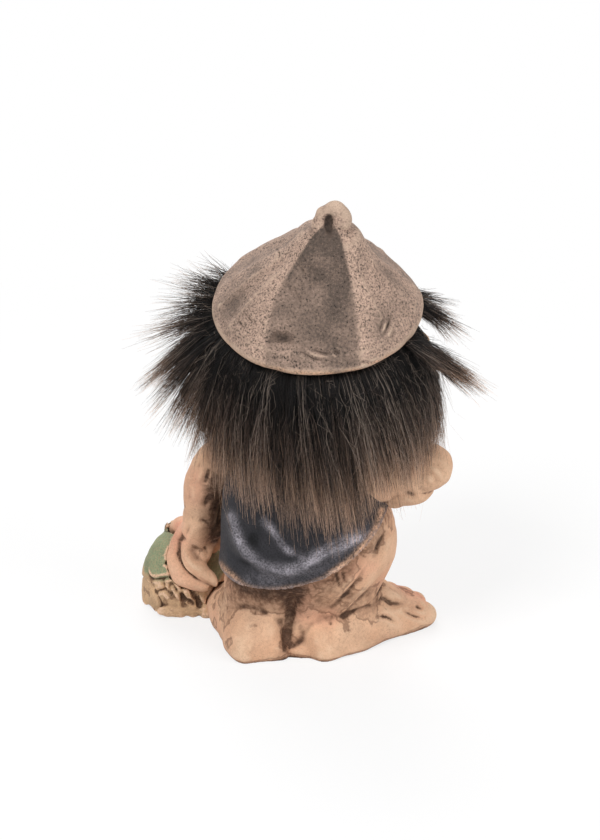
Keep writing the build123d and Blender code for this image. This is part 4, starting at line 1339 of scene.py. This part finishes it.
def white_to_camera(tree):
    """A share that makes a surface or world look white to the camera."""
    path = tree.nodes.new("ShaderNodeLightPath").outputs
    seen = calc(tree, "MAXIMUM", path["Is Camera Ray"], path["Is Glossy Ray"])
    return calc(tree, "MAXIMUM", seen, path["Is Transmission Ray"])


def make_stage():
    """A pale floor, soft light and the photograph's camera."""
    floor = bpy.data.meshes.new("floor")
    half = FLOOR_SIZE / 2
    corners = [(-half, -half, 0), (half, -half, 0), (half, half, 0), (-half, half, 0)]
    floor.from_pydata(corners, [], [(0, 1, 2, 3)])
    paint, tree, matt = new_material("Pale floor")
    feed(tree, matt, {"Base Color": (0.86, 0.86, 0.86), "Roughness": 0.9})
    white = add_node(tree, "ShaderNodeEmission", {"Color": (1, 1, 1), "Strength": 1.0}).outputs[0]
    spot = object_place(tree)
    away = add_node(tree, "ShaderNodeVectorMath", {0: spot}, operation="LENGTH").outputs["Value"]
    fade = remap(tree, away, SHADOW_NEAR, SHADOW_FAR, 0.7, 1.0)
    share = calc(tree, "MULTIPLY", white_to_camera(tree), fade)
    both = add_node(tree, "ShaderNodeMixShader", {0: share, 1: matt.outputs[0], 2: white})
    tree.links.new(both.outputs[0], tree.nodes["Material Output"].inputs["Surface"])
    floor.materials.append(paint)
    ground = bpy.data.objects.new("floor", floor)
    SCENE.collection.objects.link(ground)

    world = bpy.data.worlds.new("Studio")
    SCENE.world = world
    world.use_nodes = True
    tree = world.node_tree
    strength = remap(tree, white_to_camera(tree), 0.0, 1.0, SKY_LIGHT, 1.0)
    feed(tree, tree.nodes["Background"], {"Color": (1, 1, 1), "Strength": strength})

    for name, place, size, power in (
        ("key", (0.5, 0.75, 1.1), 0.5, 12.0),
        ("fill", (-0.8, 0.6, 0.6), 0.8, 6.0),
        ("front", (0.2, -0.9, 0.8), 0.8, 7.0),
    ):
        lamp = bpy.data.lights.new(name, "AREA")
        lamp.energy = power
        lamp.size = size
        holder = bpy.data.objects.new(name, lamp)
        holder.location = place
        aim = Vector(FRAME_MIDDLE) * MM - holder.location
        holder.rotation_euler = aim.to_track_quat("-Z", "Y").to_euler()
        SCENE.collection.objects.link(holder)

    lens = bpy.data.cameras.new("photo_camera")
    lens.sensor_fit = "VERTICAL"
    lens.sensor_height = SENSOR_HEIGHT
    lens.lens = SENSOR_HEIGHT * CAMERA_DISTANCE / FRAME_HEIGHT
    camera = bpy.data.objects.new("photo_camera", lens)
    camera.location = (Vector(FRAME_MIDDLE) + Vector(BACK.toward) * CAMERA_DISTANCE) * MM
    camera.rotation_euler = (-Vector(BACK.toward)).to_track_quat("-Z", "Y").to_euler()
    SCENE.collection.objects.link(camera)
    SCENE.camera = camera
    SCENE.view_settings.view_transform = "Standard"


make_stage()
skin = skin_material()
make_hat()
make_head(skin)
make_body(skin)
make_tunic()
make_arm("left_arm", skin, 81, hand=(39.0, -18.0, 26.0), strokes=[
    ((-28.0, 39.6), (-27.2, 42.0), (-25.8, 44.0)),
    ((-33.2, 46.5), (-32.6, 41.0)),
    ((-29.4, 55.0), (-30.8, 48.0)),
    ((-31.6, 53.0), (-32.4, 49.0)),
    ((-26.6, 52.0), (-27.6, 47.0)),
    ((-32.6, 34.4), (-33.8, 31.6), (-35.3, 29.0)),
    ((-36.3, 26.0), (-33.5, 21.1), (-30.0, 18.4)),
    ((-29.6, 36.0), (-26.4, 34.6)),
    ((-38.8, 30.0), (-39.6, 26.0)),
    ((-28.4, 27.6), (-26.8, 24.4)),
], lumps=[
    ((22.6, -11.0, 40.5), (3.0, 3.2, 7.5)),
    ((22.4, -9.5, 47.0), (2.6, 3.0, 5.0)),
    ((24.8, -12.5, 34.0), (3.2, 4.0, 7.0)),
    ((30.5, -15.0, 28.0), (6.0, 4.5, 6.0)),
    ((29.5, -14.0, 23.5), (5.0, 3.6, 6.0)),
], moves=[
    ((33.0, -4.0, 57.0), 7.0, -0.9),
    ((34.0, -8.0, 42.5), 6.0, 1.0),
    ((40.0, -17.0, 28.0), 7.0, -1.2),
])
make_arm("right_arm", skin, 91, hand=(-8.0, -23.0, 56.0), strokes=[
    ((38.4, 51.6), (41.2, 50.0), (42.8, 46.8)),
    ((41.0, 54.2), (43.6, 52.4), (45.4, 49.4)),
    ((36.4, 45.8), (39.6, 44.6)),
    ((33.0, 44.8), (36.0, 43.4)),
], lumps=[
    ((-33.0, 5.0, 52.0), (9.0, 6.0, 4.4)),
    ((-29.5, 4.0, 50.0), (5.0, 5.0, 4.0)),
], moves=[((-46.0, 4.0, 54.0), 5.0, -0.5)])
make_stump()
make_fur()
dress_small_pieces()
